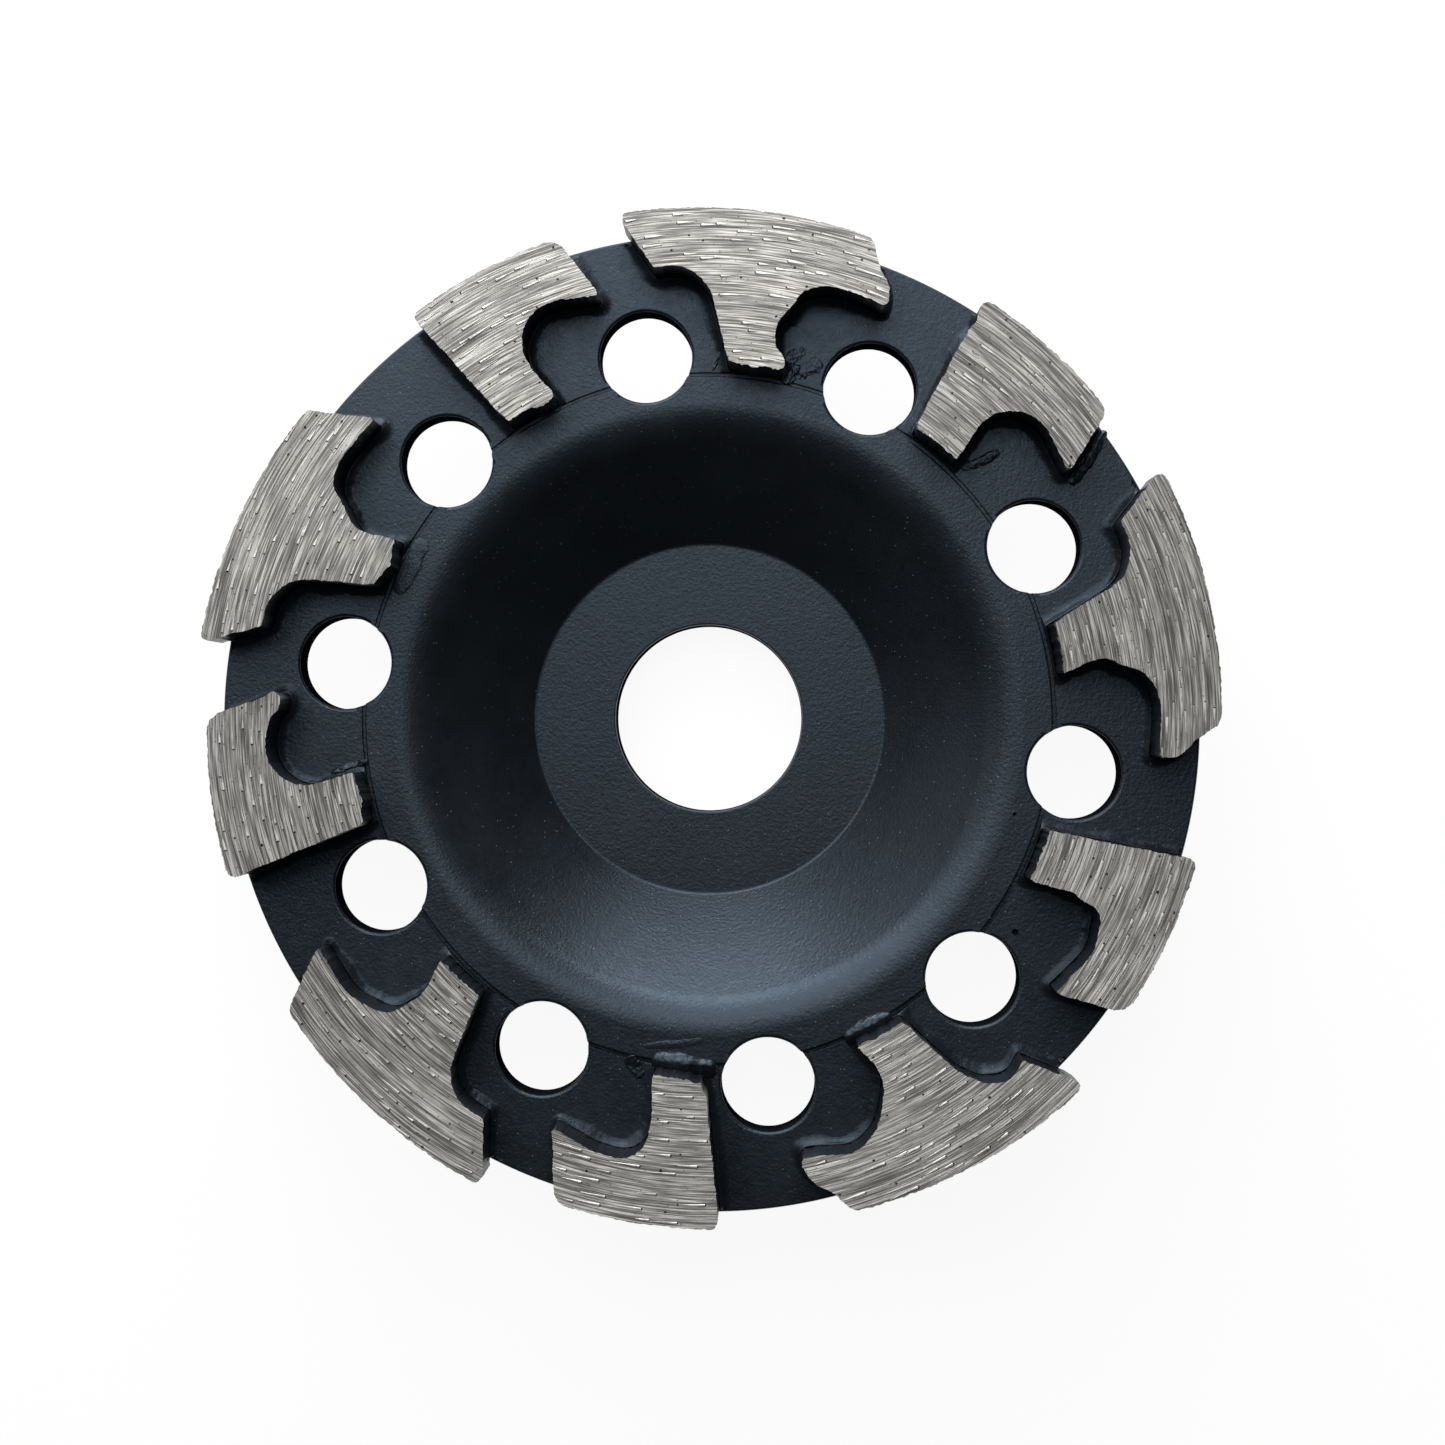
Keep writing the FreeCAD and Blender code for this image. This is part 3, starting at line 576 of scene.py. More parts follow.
def cup_profile(cup):
    """Corners of the turned profile as (radius, height, round or chamfer, segments)."""
    floor = cup.hub_thickness + cup.face_step
    face_edge = BORE_RADIUS + cup.face_width
    land_edge = face_edge + cup.bowl_width
    shoulder = shoulder_radius(cup)
    shoulder_break = 0.2 * MM
    relief = shoulder + cup.relief_width
    relief_break = 0.06 * MM
    rim = CUP_HIGH.x
    land = CUP_HIGH.z
    seat = land - cup.shoulder_rise
    under = seat - cup.ring
    slope = bowl_slope(cup)
    half = math.tan(slope / 2)
    root_corner = face_edge + cup.root_radius * half
    lip_corner = land_edge - cup.lip_radius * half
    back_shift = cup.wall / math.sin(slope)
    back_foot = root_corner - floor / math.tan(slope) + back_shift
    back_top = back_foot + under / math.tan(slope)
    return [
        (BORE_RADIUS, 0.0, cup.edge_break, 2),
        (BORE_RADIUS, cup.hub_thickness, cup.edge_break, 2),
        (face_edge, cup.hub_thickness, 0.0, 0),
        (face_edge, floor, 0.0, 0),
        (root_corner, floor, cup.root_radius * half, 6),
        (lip_corner, land, cup.lip_radius * half, 20),
        (shoulder, land, shoulder_break, 3),
        (shoulder, seat - cup.relief_depth, 0.0, 0),
        (relief, seat - cup.relief_depth, 0.0, 0),
        (relief, seat, relief_break, 2),
        (rim, seat, cup.edge_break, 2),
        (rim, under, cup.edge_break, 2),
        (back_top, under, cup.back_root * half, 10),
        (back_foot, 0.0, cup.back_corner * half, 10),
    ]


def rounded_profile(corners):
    """The closed profile as wire edges, each round corner made by spinning a point."""
    bm = bmesh.new()
    places = [Vector((corner[0], 0.0, corner[1])) for corner in corners]
    runs = []
    for index, here in enumerate(places):
        size, segments = corners[index][2:]
        if size == 0:
            sharp = bm.verts.new(here)
            runs.append((sharp, sharp))
            continue
        back = (places[index - 1] - here).normalized()
        ahead = (places[(index + 1) % len(places)] - here).normalized()
        turn = math.pi - back.angle(ahead)
        centre = here + (back + ahead).normalized() * size / math.sin(turn / 2)
        first = bm.verts.new(here + back * size)
        axis = (back * size).cross(ahead * size)
        swept = bmesh.ops.spin(bm, geom=[first], cent=centre, axis=-axis.normalized(),
                               dvec=(0, 0, 0), angle=turn, steps=segments, use_merge=False)
        last = next(item for item in swept["geom_last"] if isinstance(item, bmesh.types.BMVert))
        runs.append((first, last))
    for run, following in zip(runs, runs[1:] + runs[:1]):
        bm.edges.new((run[1], following[0]))
    return bm


PITS = (
    # radius and angle clockwise from Y of each small pit in the ring, then its half width
    (42.74, 124.9, 0.40),
    (36.78, 107.5, 0.24),
)


def ring_height(cup, radius):
    """Height of the land inside the shoulder, and of the segments' seat outside it."""
    return CUP_HIGH.z if radius < shoulder_radius(cup) else CUP_HIGH.z - cup.shoulder_rise


def round_place(radius, angle, height=0.0):
    """A place given by its radius in millimetres and its angle clockwise from Y in degrees."""
    turn = math.radians(angle)
    return Vector((radius * MM * math.sin(turn), radius * MM * math.cos(turn), height))


def dust_hole_cutter(cup):
    """An upright rod through each dust hole, and a short one for each pit."""
    bm = bmesh.new()
    for index in range(cup.hole_count):
        bmesh.ops.create_cone(bm, cap_ends=True, segments=96, radius1=cup.hole_diameter / 2,
                              radius2=cup.hole_diameter / 2, depth=2 * CUP_HIGH.z,
                              matrix=Matrix.Translation(hole_centre(cup, index)))
    for radius, angle, half in PITS:
        centre = round_place(radius, angle, ring_height(cup, radius * MM))
        bmesh.ops.create_cone(bm, cap_ends=True, segments=7, radius1=0.6 * half * MM,
                              radius2=1.4 * half * MM, depth=1.0 * MM,
                              matrix=Matrix.Translation(centre))
    return mesh_object("dust_hole_cutter", bm)


def cut_holes(bm, cutter):
    """Takes the cutter away from a closed mesh with a Boolean modifier."""
    blank = mesh_object("cup_blank", bm)
    cut = blank.modifiers.new("Dust holes", "BOOLEAN")
    cut.operation = "DIFFERENCE"
    cut.solver = "EXACT"
    cut.object = cutter
    graph = bpy.context.evaluated_depsgraph_get()
    done = bpy.data.meshes.new_from_object(blank.evaluated_get(graph))
    drilled = bmesh.new()
    drilled.from_mesh(done)
    for thing in (blank, cutter):
        old = thing.data
        bpy.data.objects.remove(thing)
        bpy.data.meshes.remove(old)
    bpy.data.meshes.remove(done)
    return drilled


def edge_distance(edge, spot):
    """How near an edge comes to a place, seen from above."""
    first, second = (vert.co.xy for vert in edge.verts)
    along = second - first
    share = (spot.xy - first).dot(along) / max(along.length_squared, 1e-18)
    return (first + along * min(1.0, max(0.0, share)) - spot.xy).length


def clear_flat_rings(bm, cup):
    """Joins the flat rings' narrow faces, leaving the lines through the holes and the pits."""
    line_width = math.radians(0.2)
    spare = []
    for edge in bm.edges:
        if len(edge.link_faces) != 2:
            continue
        if any(abs(face.normal.z) < 0.99999 for face in edge.link_faces):
            continue
        if nearest_hole(cup, (edge.verts[0].co + edge.verts[1].co) / 2)[1] < line_width:
            continue
        if any(edge_distance(edge, round_place(radius, angle)) < 2 * half * MM
               for radius, angle, half in PITS):
            continue
        spare.append(edge)
    bmesh.ops.dissolve_edges(bm, edges=spare, use_verts=False)


def break_hole_edges(bm, cup, offset):
    """A small round on the upper edge of each dust hole, but not where it meets the shoulder."""
    radius = cup.hole_diameter / 2
    just_under_seat = CUP_HIGH.z - cup.shoulder_rise - 2 * NEAR
    before_shoulder = shoulder_radius(cup) - 0.5 * MM
    past_groove = shoulder_radius(cup) + 1.0 * MM
    chosen = []
    for edge in bm.edges:
        if len(edge.link_faces) != 2 or min(v.co.z for v in edge.verts) < just_under_seat:
            continue
        tilts = sorted(abs(face.normal.z) for face in edge.link_faces)
        if tilts[0] > 0.01 or tilts[1] < 0.999:
            continue
        middle = (edge.verts[0].co + edge.verts[1].co) / 2
        if before_shoulder < middle.xy.length < past_groove:
            continue
        centre = hole_centre(cup, nearest_hole(cup, middle)[0])
        if abs((middle.xy - centre.xy).length - radius) < NEAR:
            chosen.append(edge)
    bmesh.ops.bevel(bm, geom=chosen, offset=offset, offset_type="OFFSET", segments=4,
                    profile=0.5, affect="EDGES", material=-1, clamp_overlap=False)


def relief_faces(bm, cup):
    """The faces inside the groove at the foot of the shoulder, which take the painted shade."""
    inner = shoulder_radius(cup) - NEAR
    outer = shoulder_radius(cup) + cup.relief_width + NEAR
    brink = CUP_HIGH.z - cup.shoulder_rise - 0.02 * MM
    halfway = 0.5 * brink
    found = []
    for face in bm.faces:
        middle = face.calc_center_median()
        if inner < middle.xy.length < outer and halfway < middle.z < brink:
            found.append(face)
    return found


def drilled_walls(bm, cup):
    """The upright faces of the bore and of the dust holes, and the insides of the pits."""
    land_edge = BORE_RADIUS + cup.face_width + cup.bowl_width
    rim = CUP_HIGH.x - NEAR
    walls = []
    for face in bm.faces:
        middle = face.calc_center_median()
        away = middle.xy.length
        facing = face.normal.xy.dot(middle.xy.normalized())
        in_bore = away < BORE_RADIUS + NEAR
        in_hole = land_edge < away < rim and facing < 0.999
        in_pit = any((middle.xy - round_place(radius, angle).xy).length < 1.5 * half * MM
                     and middle.z < ring_height(cup, radius * MM) - NEAR
                     for radius, angle, half in PITS)
        if in_pit or (abs(face.normal.z) < 0.3 and (in_bore or in_hole)):
            walls.append(face)
    return walls


CHIPS = (
    # radius and angle clockwise from Y of a place on a segment's edge, how far along the edge
    # the change reaches, and how far it goes in from that edge, or out where it is negative
    (52.4, 166.8, 3.2, -0.8),
    (47.6, 300.2, 3.0, -0.6),
    (40.4, 332.6, 2.6, -0.6),
    (52.8, 94.1, 2.6, -0.7),
    (52.7, 23.0, 2.6, -0.6),
    (48.6, 271.7, 2.0, -0.8),
    (47.4, 11.8, 2.6, -0.5),
    (40.2, 295.6, 2.3, -0.6),
    (47.1, 83.0, 2.4, -0.5),
    (40.1, 7.4, 2.2, -0.5),
    (40.2, 256.9, 2.2, -0.5),
    (41.1, 11.8, 1.8, -0.7),
    (50.8, 161.5, 3.0, 0.4),
    (47.5, 155.4, 4.0, -0.5),
    (49.4, 140.6, 2.8, 1.3),
    (51.6, 139.3, 2.2, 0.6),
    (48.0, 190.5, 3.4, 0.8),
    (48.4, 116.9, 2.2, 0.6),
    (47.6, 228.9, 2.4, 0.9),
    (54.0, 33.2, 1.7, 0.5),
    (40.0, 301.0, 1.4, 0.3),
    (40.4, 180.6, 2.2, 0.6),
)


def chipped(spot):
    """How far in from the pattern's edge this segment's edge lies at a place."""
    depth = 0.0
    for radius, angle, reach, cut in CHIPS:
        away = (spot.xy - round_place(radius, angle).xy).length / (reach * MM)
        if away < 1.0:
            depth += cut * MM * (1 - away ** 2) ** 2
    return depth


def top_loop(node):
    """The outline of a segment's top face as one face, from a merged copy of its CAD mesh."""
    bm = bmesh.new()
    bm.from_mesh(frame["nodes"][node].data)
    bmesh.ops.remove_doubles(bm, verts=bm.verts[:], dist=0.001 * MM)
    top = max(vert.co.z for vert in bm.verts)
    others = [face for face in bm.faces
              if face.normal.z < 0.9 or face.calc_center_median().z < top - 0.01 * MM]
    bmesh.ops.delete(bm, geom=others, context="FACES")
    bmesh.ops.dissolve_faces(bm, faces=bm.faces[:], use_verts=False)
    return bm


def spaced_outline(bm, step):
    """Divides the outline into short steps and eases the kinks of its arcs."""
    for edge in bm.edges[:]:
        cuts = int(edge.calc_length() / step)
        if cuts > 0:
            bmesh.ops.subdivide_edges(bm, edges=[edge], cuts=cuts)
    for attempt in range(3):
        bmesh.ops.smooth_vert(bm, verts=bm.verts[:], factor=0.5,
                              use_axis_x=True, use_axis_y=True, use_axis_z=False)


def outward(face):
    """The outward direction at each vertex of a flat face's outline."""
    ring = [loop.vert for loop in face.loops]
    ways = {}
    for before, here, after in zip(ring[-1:] + ring[:-1], ring, ring[1:] + ring[:1]):
        along = (after.co - before.co).normalized()
        ways[here] = Vector((along.y, -along.x, 0.0))
    return ways


def worn_outline(node, step):
    """A segment's outline in short steps, changed where it has chipped or bulges."""
    bm = top_loop(node)
    spaced_outline(bm, step)
    face = bm.faces[:][0]
    ways = outward(face)
    for vert, way in ways.items():
        vert.co -= way * chipped(vert.co)
    return bm, face, ways


def extruded(bm, edges):
    """Extrudes a ring of edges in place: its new points, its new edges and the faces between."""
    made = bmesh.ops.extrude_edge_only(bm, edges=edges)["geom"]
    points = [item for item in made if isinstance(item, bmesh.types.BMVert)]
    fresh = set(points)
    ring = [item for item in made if isinstance(item, bmesh.types.BMEdge)
            and all(vert in fresh for vert in item.verts)]
    faces = [item for item in made if isinstance(item, bmesh.types.BMFace)]
    return points, ring, faces


def crumble(place, foot_radius):
    """How badly the edge has crumbled at a place: 0 where it is whole, and worst at the feet."""
    slow = noise.noise(place * 700 + Vector((3.1, 0.0, 0.0)))
    fast = noise.noise(place * 2600)
    finest = noise.noise(place * 6500)
    foot = max(0.0, 1.0 - (place.xy.length - foot_radius) / (1.2 * MM))
    level = 0.25 + 0.55 * max(0.0, slow) + 0.35 * fast + 0.2 * finest
    return max(0.0, level * (1.0 + 0.9 * foot))


def crumbled_top(bm, face, ways, sizes):
    """Crumbles the outline of a ground top, lays the burr with its painted highlight along it, and
    gives its edges.
    """
    foot_radius = min(vert.co.xy.length for vert in bm.verts)
    for vert, way in ways.items():
        vert.co -= way * (sizes.edge_wear * crumble(vert.co, foot_radius))
    rim = [loop.edge for loop in face.loops]
    bmesh.ops.inset_region(bm, faces=[face], thickness=sizes.burr_highlight_width, use_even_offset=True)
    face = max(bm.faces, key=lambda item: item.calc_area())
    for strip in bm.faces:
        # most of the strip along the edge takes the burr material with its painted highlight
        if strip is not face and noise.noise(strip.calc_center_median() * 600) > -0.25:
            strip.material_index = BURR_HIGHLIGHT
    fall = 0.05 * MM
    for vert in ways:
        if vert.is_valid:
            vert.co.z -= fall + fall * abs(noise.noise(vert.co * 3000))
    return [edge for edge in rim if edge.is_valid]


def rough_flanks(bm, edges, low, high, roughness):
    """Draws the outline down from the top to the foot in rings, and roughens them."""
    levels = 16
    drop = (high.z - low.z) / levels
    for level in range(1, levels + 1):
        points, edges, faces = extruded(bm, edges)
        for face in faces:
            face.material_index = FLANK
        for vert in points:
            vert.co.z = high.z - drop * level
    bmesh.ops.contextual_create(bm, geom=edges)
    flank = [vert for vert in bm.verts if low.z + 0.2 * drop < vert.co.z < high.z - 0.5 * drop]
    bm.normal_update()
    for vert in flank:
        vert.co += vert.normal * (roughness * noise.noise(vert.co * 1300))


# places of the ground top, its burr with the painted highlight and its painted flanks among a
# segment's materials
GROUND, BURR_HIGHLIGHT, FLANK = range(3)


def segment_piece(node, sizes, proud, materials):
    """One segment: a ground top, a crumbled edge with a painted highlight and rough painted flanks.
    """
    low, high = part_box(node)
    high.z -= proud
    bm, face, ways = worn_outline(node, sizes.outline_step)
    bmesh.ops.translate(bm, verts=bm.verts[:], vec=(0.0, 0.0, -proud))
    edges = crumbled_top(bm, face, ways, sizes)
    rough_flanks(bm, edges, low, high, sizes.flank_roughness)
    bmesh.ops.recalc_face_normals(bm, faces=bm.faces[:])
    piece = new_piece(node + "_ground", bm, materials, sharp_angle=math.radians(32))
    for face in piece.data.polygons:
        if face.material_index == GROUND:
            face.use_smooth = False
    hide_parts(node)
    return piece


def covers(tree, spot, margin):
    """Whether the ground face reaches a margin past a spot on every side."""
    down = Vector((0.0, 0.0, -1.0))
    for x, y in ((0, 0), (1, 0), (-1, 0), (0, 1), (0, -1)):
        above = Vector((spot.x + x * margin, spot.y + y * margin, 1.0))
        if tree.ray_cast(above, down)[0] is None:
            return False
    return True


def grit_places(tree, low, high, count, gap, margin, draw):
    """Random places on the ground face that keep a gap from each other."""
    places = []
    for attempt in range(count * 60):
        spot = Vector((draw.uniform(low.x, high.x), draw.uniform(low.y, high.y), 0.0))
        if any((spot - other).length < gap for other in places):
            continue
        if covers(tree, spot, margin):
            places.append(spot)
        if len(places) == count:
            break
    return places


def local_frame(spot, height):
    """Axes at a spot: X clockwise round the wheel, Y outward and Z up."""
    turn = math.atan2(spot.x, spot.y)
    return Matrix.Translation((spot.x, spot.y, height)) @ Matrix.Rotation(-turn, 4, "Z")


def add_tail(bm, here, length, width, height, draw):
    """The low ridge of bond left standing in the lee of a diamond."""
    along = Matrix.Translation((length / 2, 0.0, 0.0)) @ Matrix.Rotation(math.pi / 2, 4, "Y")
    flat = Matrix.Diagonal((1.0, 1.0, 2 * height / width, 1.0))
    made = bmesh.ops.create_cone(bm, cap_ends=True, segments=6, radius1=width / 2,
                                 radius2=width * 0.1, depth=length,
                                 matrix=here @ flat @ along)["verts"]
    lean = Vector((0.0, draw.uniform(-0.2, 0.2) * width, 0.0))
    tip = [vert for vert in made if (here.inverted() @ vert.co).x > length / 2]
    bmesh.ops.translate(bm, verts=tip, vec=here.to_3x3() @ lean)


def add_crystal(bm, here, width, height, draw):
    """One blunt, faceted diamond, sunk into the bond to its shoulders."""
    turn = Matrix.Rotation(draw.uniform(0, math.pi), 4, (draw.random(), draw.random(), 1.0))
    shape = Matrix.Diagonal((draw.uniform(0.85, 1.15), draw.uniform(0.75, 1.0), 1.0, 1.0))
    sink = Matrix.Translation((0.0, 0.0, height - width * 0.46))
    bmesh.ops.create_icosphere(bm, subdivisions=1, radius=width / 2,
                               matrix=here @ sink @ shape @ turn)


def grit_piece(node, grit, materials, draw):
    """The diamonds of one segment, most with a tail of bond that runs clockwise."""
    low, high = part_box(node)
    bm, face = worn_outline(node, grit.crystal)[:2]
    area = face.calc_area()
    tree = BVHTree.FromBMesh(bm)
    bm.free()
    ridges = bmesh.new()
    stones = bmesh.new()
    count = round(area / grit.spacing ** 2)
    margin = grit.crystal
    gap = grit.spacing * 0.42
    tailed_share = 0.82
    ground = high.z - grit.proud
    for spot in grit_places(tree, low, high, count, gap, margin, draw):
        here = local_frame(spot, ground)
        width = grit.crystal * draw.uniform(0.7, 1.05)
        length = grit.tail_length * draw.uniform(0.2, 1.0)
        tailed = draw.random() < tailed_share
        while length > width and not covers(tree, here @ Vector((length, 0.0, 0.0)), margin / 2):
            length -= width / 2
        if tailed and length > 2 * width:
            add_tail(ridges, here, length, grit.tail_width * draw.uniform(0.75, 1.1),
                     grit.proud * draw.uniform(0.45, 0.75), draw)
        add_crystal(stones, here, width, grit.proud * draw.uniform(0.45, 0.8), draw)
    # the diamonds take the second material, near black partly as painted shade of their pits
    for face in stones.faces:
        face.material_index = 1
    loose = bpy.data.meshes.new("stones")
    stones.to_mesh(loose)
    stones.free()
    ridges.from_mesh(loose)
    bpy.data.meshes.remove(loose)
    bmesh.ops.recalc_face_normals(ridges, faces=ridges.faces[:])
    piece = new_piece(node + "_grit", ridges, materials, sharp_angle=math.radians(25))
    return piece


def fillet_rings(sizes, film):
    """The reach and height of each ring of a fillet, from the flank down to its thin edge."""
    steps = 8
    rings = [(-0.03 * MM, sizes.braze_height + film)]
    for step in range(steps + 1):
        share = step / steps
        reach = sizes.braze_leg * (0.02 + 0.98 * share)
        rings.append((reach, (sizes.braze_height + film) * (1 - share) ** 2))
    return rings


def first_points(faces, fresh, source):
    """For each newly extruded point, the point of the first ring that it came from."""
    found = {}
    for face in faces:
        for edge in face.edges:
            first, second = edge.verts
            if (first in fresh) != (second in fresh):
                new, old = (first, second) if first in fresh else (second, first)
                found[new] = source[old]
    return found


def braze_piece(joint, node, cup, sizes, material):
    """The painted fillet of braze round the foot of one segment."""
    seat = CUP_HIGH.z - cup.shoulder_rise
    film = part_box(node)[0].z - seat
    inner = shoulder_radius(cup) + cup.relief_width
    outer = CUP_HIGH.x - cup.edge_break
    bm, face, ways = worn_outline(node, sizes.outline_step * 1.4)
    ring = [loop.vert for loop in face.loops]
    start = {vert: vert.co.copy() for vert in ring}
    edges = [loop.edge for loop in face.loops]

    def settle(vert, origin, way, reach, height):
        """Puts a point at a reach and a height, held inside the seat."""
        spot = origin + way * reach
        radius = spot.xy.length
        over = origin.xy.length > outer
        if radius > outer:
            spot = Vector((spot.x * outer / radius, spot.y * outer / radius, 0))
        if radius < inner:
            spot = Vector((spot.x * inner / radius, spot.y * inner / radius, 0))
        vert.co = Vector((spot.x, spot.y, seat + (min(height, film) if over else height)))

    face.normal_flip()
    for vert in ring:
        settle(vert, start[vert], ways[vert], -0.05 * MM, film)
    source = {vert: vert for vert in ring}
    for reach, height in fillet_rings(sizes, film):
        points, edges, faces = extruded(bm, edges)
        source = first_points(faces, set(points), source)
        for vert in points:
            origin = start[source[vert]]
            spreads = 0.95 + 0.55 * noise.noise(origin * 330) + 0.2 * noise.noise(origin * 1500)
            climbs = 0.9 + 0.5 * noise.noise(origin * 260 + Vector((5.1, 0.0, 0.0)))
            settle(vert, origin, ways[source[vert]], reach * spreads, height * climbs)
    bmesh.ops.contextual_create(bm, geom=edges)
    bmesh.ops.remove_doubles(bm, verts=bm.verts[:], dist=0.002 * MM)
    bmesh.ops.recalc_face_normals(bm, faces=bm.faces[:])
    piece = new_piece(joint + "_fillet", bm, [material], sharp_angle=math.radians(50))
    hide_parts(joint)
    return piece


SPILLS = (
    # width, height and lumpiness of each run of spilt braze, then its line of places, each
    # by its radius and its angle clockwise from Y
    (1.5, 0.55, 0.3, ((50.3, 57.1), (52.7, 56.2), (54.3, 55.4), (55.8, 54.7))),
    (1.2, 0.18, 0.3, ((41.6, 46.1), (43.5, 47.3), (45.0, 47.6))),
    (1.4, 0.22, 0.4, ((40.3, 13.7), (41.5, 14.6))),
    (1.8, 0.12, 0.4, ((41.4, 15.4), (42.6, 17.4))),
    (1.4, 0.12, 0.4, ((42.6, 13.0), (43.6, 14.5))),
    (0.5, 0.15, 0.4, ((40.5, 1.3), (42.3, 2.2))),
    (0.9, 0.07, 0.2, ((38.1, 190.4), (37.4, 185.0), (36.9, 181.5))),
    (2.8, 0.75, 0.1, ((39.6, 187.2), (39.8, 183.5), (40.0, 180.4))),
    (1.5, 0.2, 0.35, ((40.3, 192.4), (41.3, 191.0))),
    (2.6, 0.7, 0.1, ((39.9, 155.0), (39.9, 150.0))),
    (2.4, 0.12, 0.15, ((38.6, 300.4), (38.6, 293.6))),
    (0.9, 0.3, 0.25, ((43.6, 261.6), (40.0, 262.6))),
)


def eased_height(cup, radius):
    """The ring's height with braze run into the step at the shoulder."""
    run = 1.2 * MM
    share = min(1.0, max(0.0, (radius - shoulder_radius(cup)) / run))
    return CUP_HIGH.z - cup.shoulder_rise * share


def on_line(points, share):
    """The place at a share of a broken line's length, and the direction of the line there."""
    lengths = [(after - before).length for before, after in zip(points, points[1:])]
    left = share * sum(lengths)
    for before, after, length in zip(points, points[1:], lengths):
        if left <= length or after is points[-1]:
            return before.lerp(after, left / length), (after - before) / length
        left -= length


def add_spill(bm, cup, width, height, lumps, line):
    """A lumpy run of braze: a ball drawn out along a line and flattened onto the ring."""
    points = [round_place(radius, angle) for radius, angle in line]
    ends = width * MM / 2
    ahead = (points[-1] - points[0]).normalized()
    points[0] = points[0] - ahead * ends
    points[-1] = points[-1] + ahead * ends
    ball = bmesh.ops.create_icosphere(bm, subdivisions=5, radius=1.0)["verts"]
    for vert in ball:
        x, y, z = vert.co
        spot, way = on_line(points, min(1.0, max(0.0, (x + 1) / 2)))
        blunt = max(1e-6, 1 - x * x) ** -0.22
        swell = 1 + 0.3 * noise.noise(spot * 500) + lumps * noise.noise(spot * 1700 + vert.co * 2)
        across = Vector((way.y, -way.x, 0.0)) * (y * blunt * swell * width * MM / 2)
        rough = swell + lumps * 0.7 * noise.noise((spot + across) * 2600)
        up = z * blunt * rough * height * MM if z > 0 else z * cup.shoulder_rise * 1.4
        vert.co = spot + across
        vert.co.z = eased_height(cup, vert.co.length) + up


class CUPWHEEL_OT_cup(bpy.types.Operator):
    """Turns the painted steel cup and drills its dust holes"""
    bl_idname = "cupwheel.cup"
    bl_label = "Painted Cup"

    def execute(self, context):
        cup = context.scene.cup_sizes
        bm = rounded_profile(cup_profile(cup))
        bmesh.ops.rotate(bm, verts=bm.verts[:],
                         matrix=Matrix.Rotation(math.pi / 2 + cup.hole_lead, 3, "Z"))
        bmesh.ops.spin(bm, geom=bm.verts[:] + bm.edges[:], cent=(0, 0, 0), axis=(0, 0, 1),
                       dvec=(0, 0, 0), angle=2 * math.pi, steps=360, use_merge=True)
        bmesh.ops.remove_doubles(bm, verts=bm.verts[:], dist=0.0005 * MM)
        bmesh.ops.recalc_face_normals(bm, faces=bm.faces[:])
        bm = cut_holes(bm, dust_hole_cutter(cup))
        clear_flat_rings(bm, cup)
        hole_round = 0.4 * MM
        break_hole_edges(bm, cup, hole_round)
        # the bore, hole, pit and groove faces take the darker matt paint, painted shade in those
        # recesses
        for face in drilled_walls(bm, cup) + relief_faces(bm, cup):
            face.material_index = 1
        materials = [
            cup_paint(cup),
            material_named("matt_paint", matt_paint, tuple(cup.paint)),
        ]
        piece = new_piece("painted_cup", bm, materials, sharp_angle=math.radians(32))
        shading = piece.modifiers.new("Flat faces stay flat", "WEIGHTED_NORMAL")
        shading.keep_sharp = True
        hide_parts("cup_body")
        return {"FINISHED"}


class CUPWHEEL_OT_segments(bpy.types.Operator):
    """Makes the ten ground segments with their crumbled edges"""
    bl_idname = "cupwheel.segments"
    bl_label = "Ground Segments"

    def execute(self, context):
        sizes = context.scene.segment_sizes
        cup = context.scene.cup_sizes
        proud = context.scene.grit_sizes.proud
        materials = [
            material_named("ground_bond", ground_bond, tuple(sizes.metal)),
            material_named("burnished_burr", burnished_burr, tuple(sizes.metal)),
            braze_paint(cup),
        ]
        for node in TEES + ELLS:
            segment_piece(node, sizes, proud, materials)
        return {"FINISHED"}


class CUPWHEEL_OT_grit(bpy.types.Operator):
    """Sets the diamonds and their tails into the ground faces"""
    bl_idname = "cupwheel.grit"
    bl_label = "Diamond Grit"

    def execute(self, context):
        grit = context.scene.grit_sizes
        # the ridges take the paler bond, a painted highlight; the diamonds the near-black, partly
        # painted pit shade
        materials = [
            material_named("smeared_bond", smeared_bond),
            material_named("diamond_grit", diamond_grit),
        ]
        draw = random.Random(grit.seed)
        for node in TEES + ELLS:
            grit_piece(node, grit, materials, draw)
        return {"FINISHED"}


class CUPWHEEL_OT_braze(bpy.types.Operator):
    """Lays the painted braze round the foot of each segment"""
    bl_idname = "cupwheel.braze"
    bl_label = "Braze Fillets"

    def execute(self, context):
        cup = context.scene.cup_sizes
        sizes = context.scene.segment_sizes
        for joint, node in zip(JOINTS, TEES + ELLS):
            braze_piece(joint, node, cup, sizes, braze_paint(cup))
        return {"FINISHED"}


class CUPWHEEL_OT_spills(bpy.types.Operator):
    """Lays the painted runs of braze that spilt past the fillets"""
    bl_idname = "cupwheel.spills"
    bl_label = "Braze Spills"

    def execute(self, context):
        cup = context.scene.cup_sizes
        bm = bmesh.new()
        for width, height, lumps, line in SPILLS:
            add_spill(bm, cup, width, height, lumps, line)
        bmesh.ops.recalc_face_normals(bm, faces=bm.faces[:])
        piece = new_piece("braze_spills", bm, [cup_paint(cup)], sharp_angle=math.radians(60))
        return {"FINISHED"}


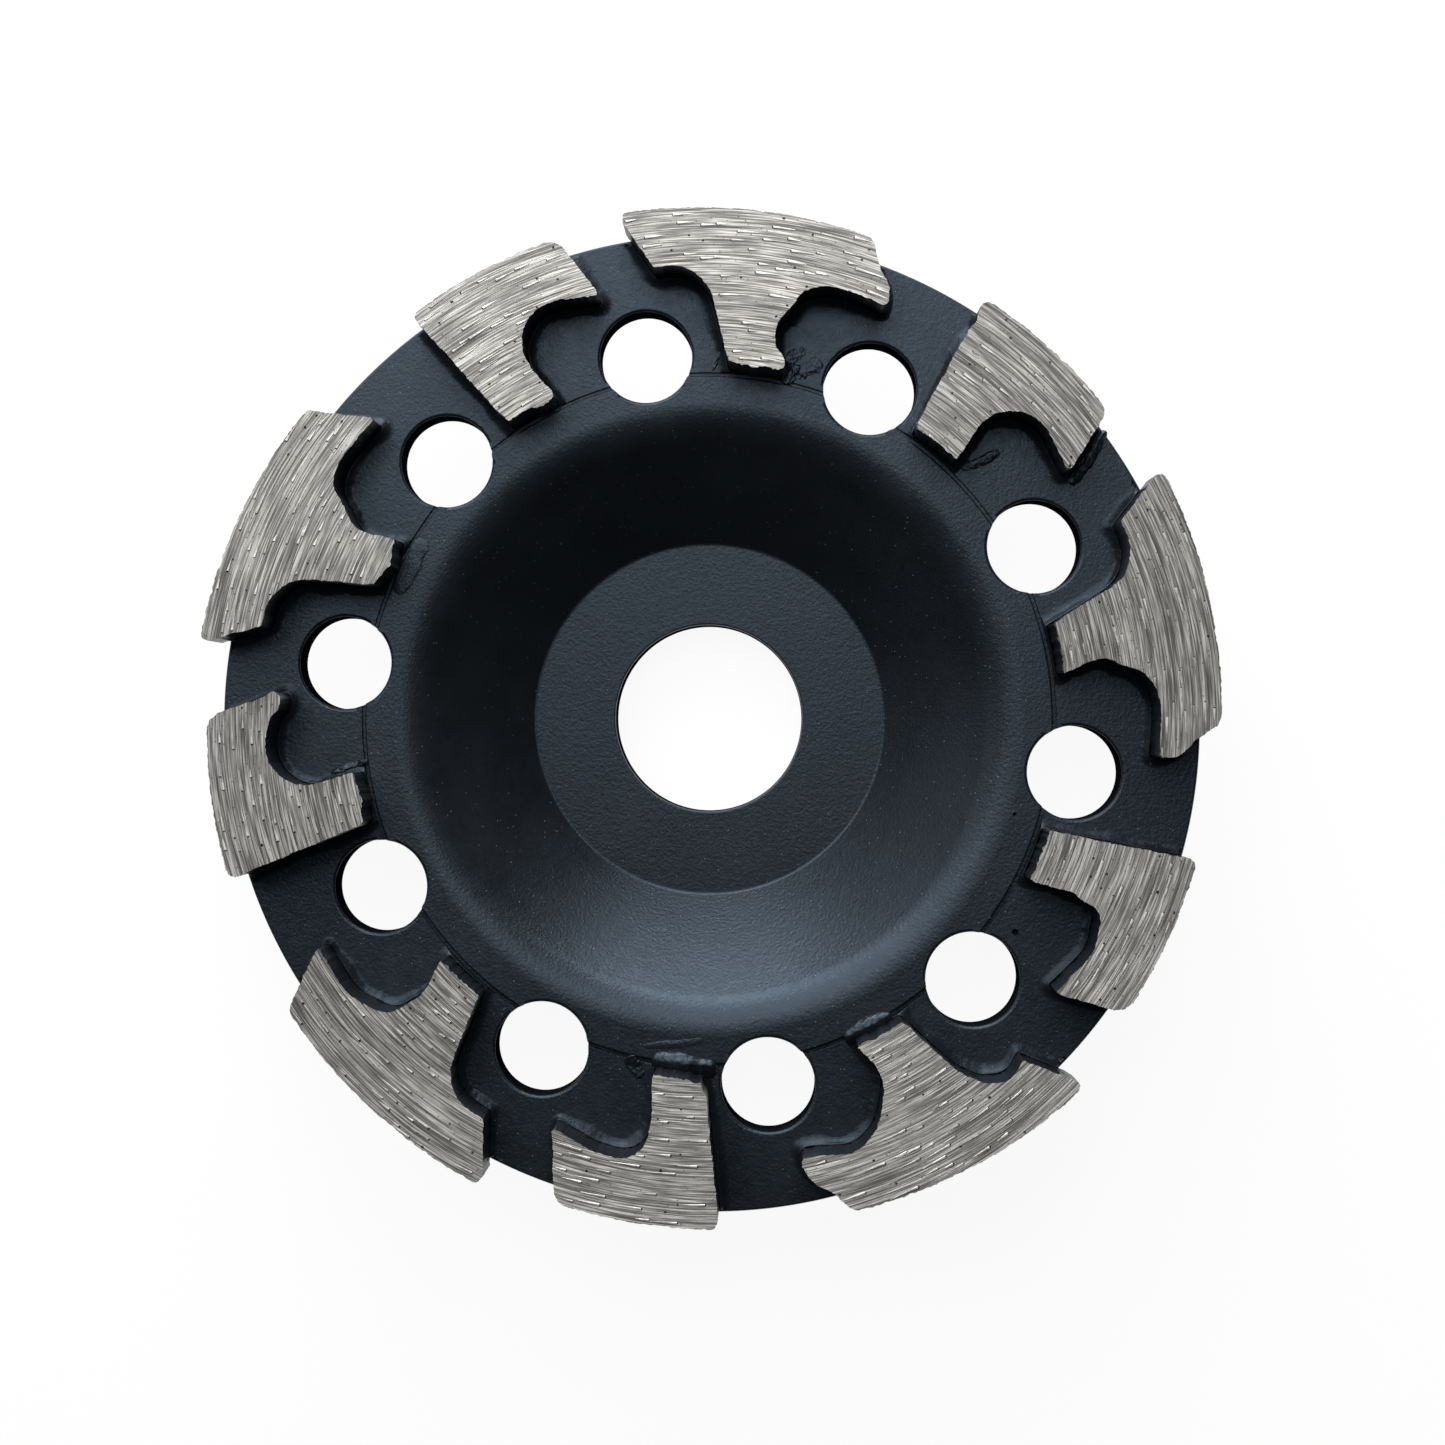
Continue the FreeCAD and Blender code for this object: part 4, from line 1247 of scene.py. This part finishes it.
SOFTBOXES = (
    # name, azimuth clockwise from Y, elevation, distance, width, height and radiance
    ("window", 0, 18, 0.305, 0.300, 0.190, 5.15),
    ("upper_softbox", -20, 50, 0.450, 0.450, 0.450, 2.67),
    ("top_softbox", 20, 80, 0.450, 0.160, 0.160, 1.55),
    ("left_softbox", -60, 21, 0.806, 0.800, 0.600, 0.67),
)


class CUPWHEEL_OT_stage(bpy.types.Operator):
    """Sets up the camera, the pale floor and the soft lights"""
    bl_idname = "cupwheel.stage"
    bl_label = "Stage"

    def execute(self, context):
        stage = context.scene.stage_sizes
        scene = context.scene
        scene.view_settings.view_transform = "Standard"
        lens = bpy.data.cameras.new("camera")
        camera = bpy.data.objects.new("camera", lens)
        scene.collection.objects.link(camera)
        camera.location = stage.eye
        camera.rotation_euler = stage.lean
        lens.sensor_width = 36.0
        lens.lens = stage.lens
        lens.shift_x, lens.shift_y = stage.shift
        lens.clip_start = 0.01
        scene.camera = camera
        bm = bmesh.new()
        bmesh.ops.create_grid(bm, x_segments=1, y_segments=1, size=stage.floor_width / 2)
        floor = mesh_object("floor", bm)
        floor.data.materials.append(white_floor("white_floor"))
        for box in SOFTBOXES:
            softbox(scene, stage.brightness, *box)
        scene.world = room_light(stage.brightness)
        return {"FINISHED"}


class CUPWHEEL_PT_panel(bpy.types.Panel):
    """Sidebar panel with every step of the wheel"""
    bl_label = "Cup Wheel"
    bl_idname = "CUPWHEEL_PT_panel"
    bl_space_type = "VIEW_3D"
    bl_region_type = "UI"
    bl_category = "Cup Wheel"

    def draw(self, context):
        column = self.layout.column()
        for operator in STEPS:
            column.operator(operator.bl_idname)


STEPS = (CUPWHEEL_OT_stage, CUPWHEEL_OT_cup, CUPWHEEL_OT_segments, CUPWHEEL_OT_grit,
         CUPWHEEL_OT_braze, CUPWHEEL_OT_spills)
GROUPS = {
    "cup_sizes": CupSizes,
    "segment_sizes": SegmentSizes,
    "grit_sizes": GritSizes,
    "stage_sizes": StageSizes,
}


def register():
    for group in GROUPS.values():
        bpy.utils.register_class(group)
    for operator in STEPS:
        bpy.utils.register_class(operator)
    bpy.utils.register_class(CUPWHEEL_PT_panel)
    for name, group in GROUPS.items():
        setattr(bpy.types.Scene, name, PointerProperty(type=group))


def unregister():
    for name in GROUPS:
        delattr(bpy.types.Scene, name)
    bpy.utils.unregister_class(CUPWHEEL_PT_panel)
    for operator in reversed(STEPS):
        bpy.utils.unregister_class(operator)
    for group in reversed(list(GROUPS.values())):
        bpy.utils.unregister_class(group)


def main():
    register()
    bpy.ops.cupwheel.stage()
    bpy.ops.cupwheel.cup()
    bpy.ops.cupwheel.segments()
    bpy.ops.cupwheel.grit()
    bpy.ops.cupwheel.braze()
    bpy.ops.cupwheel.spills()


if __name__ == "__main__":
    main()
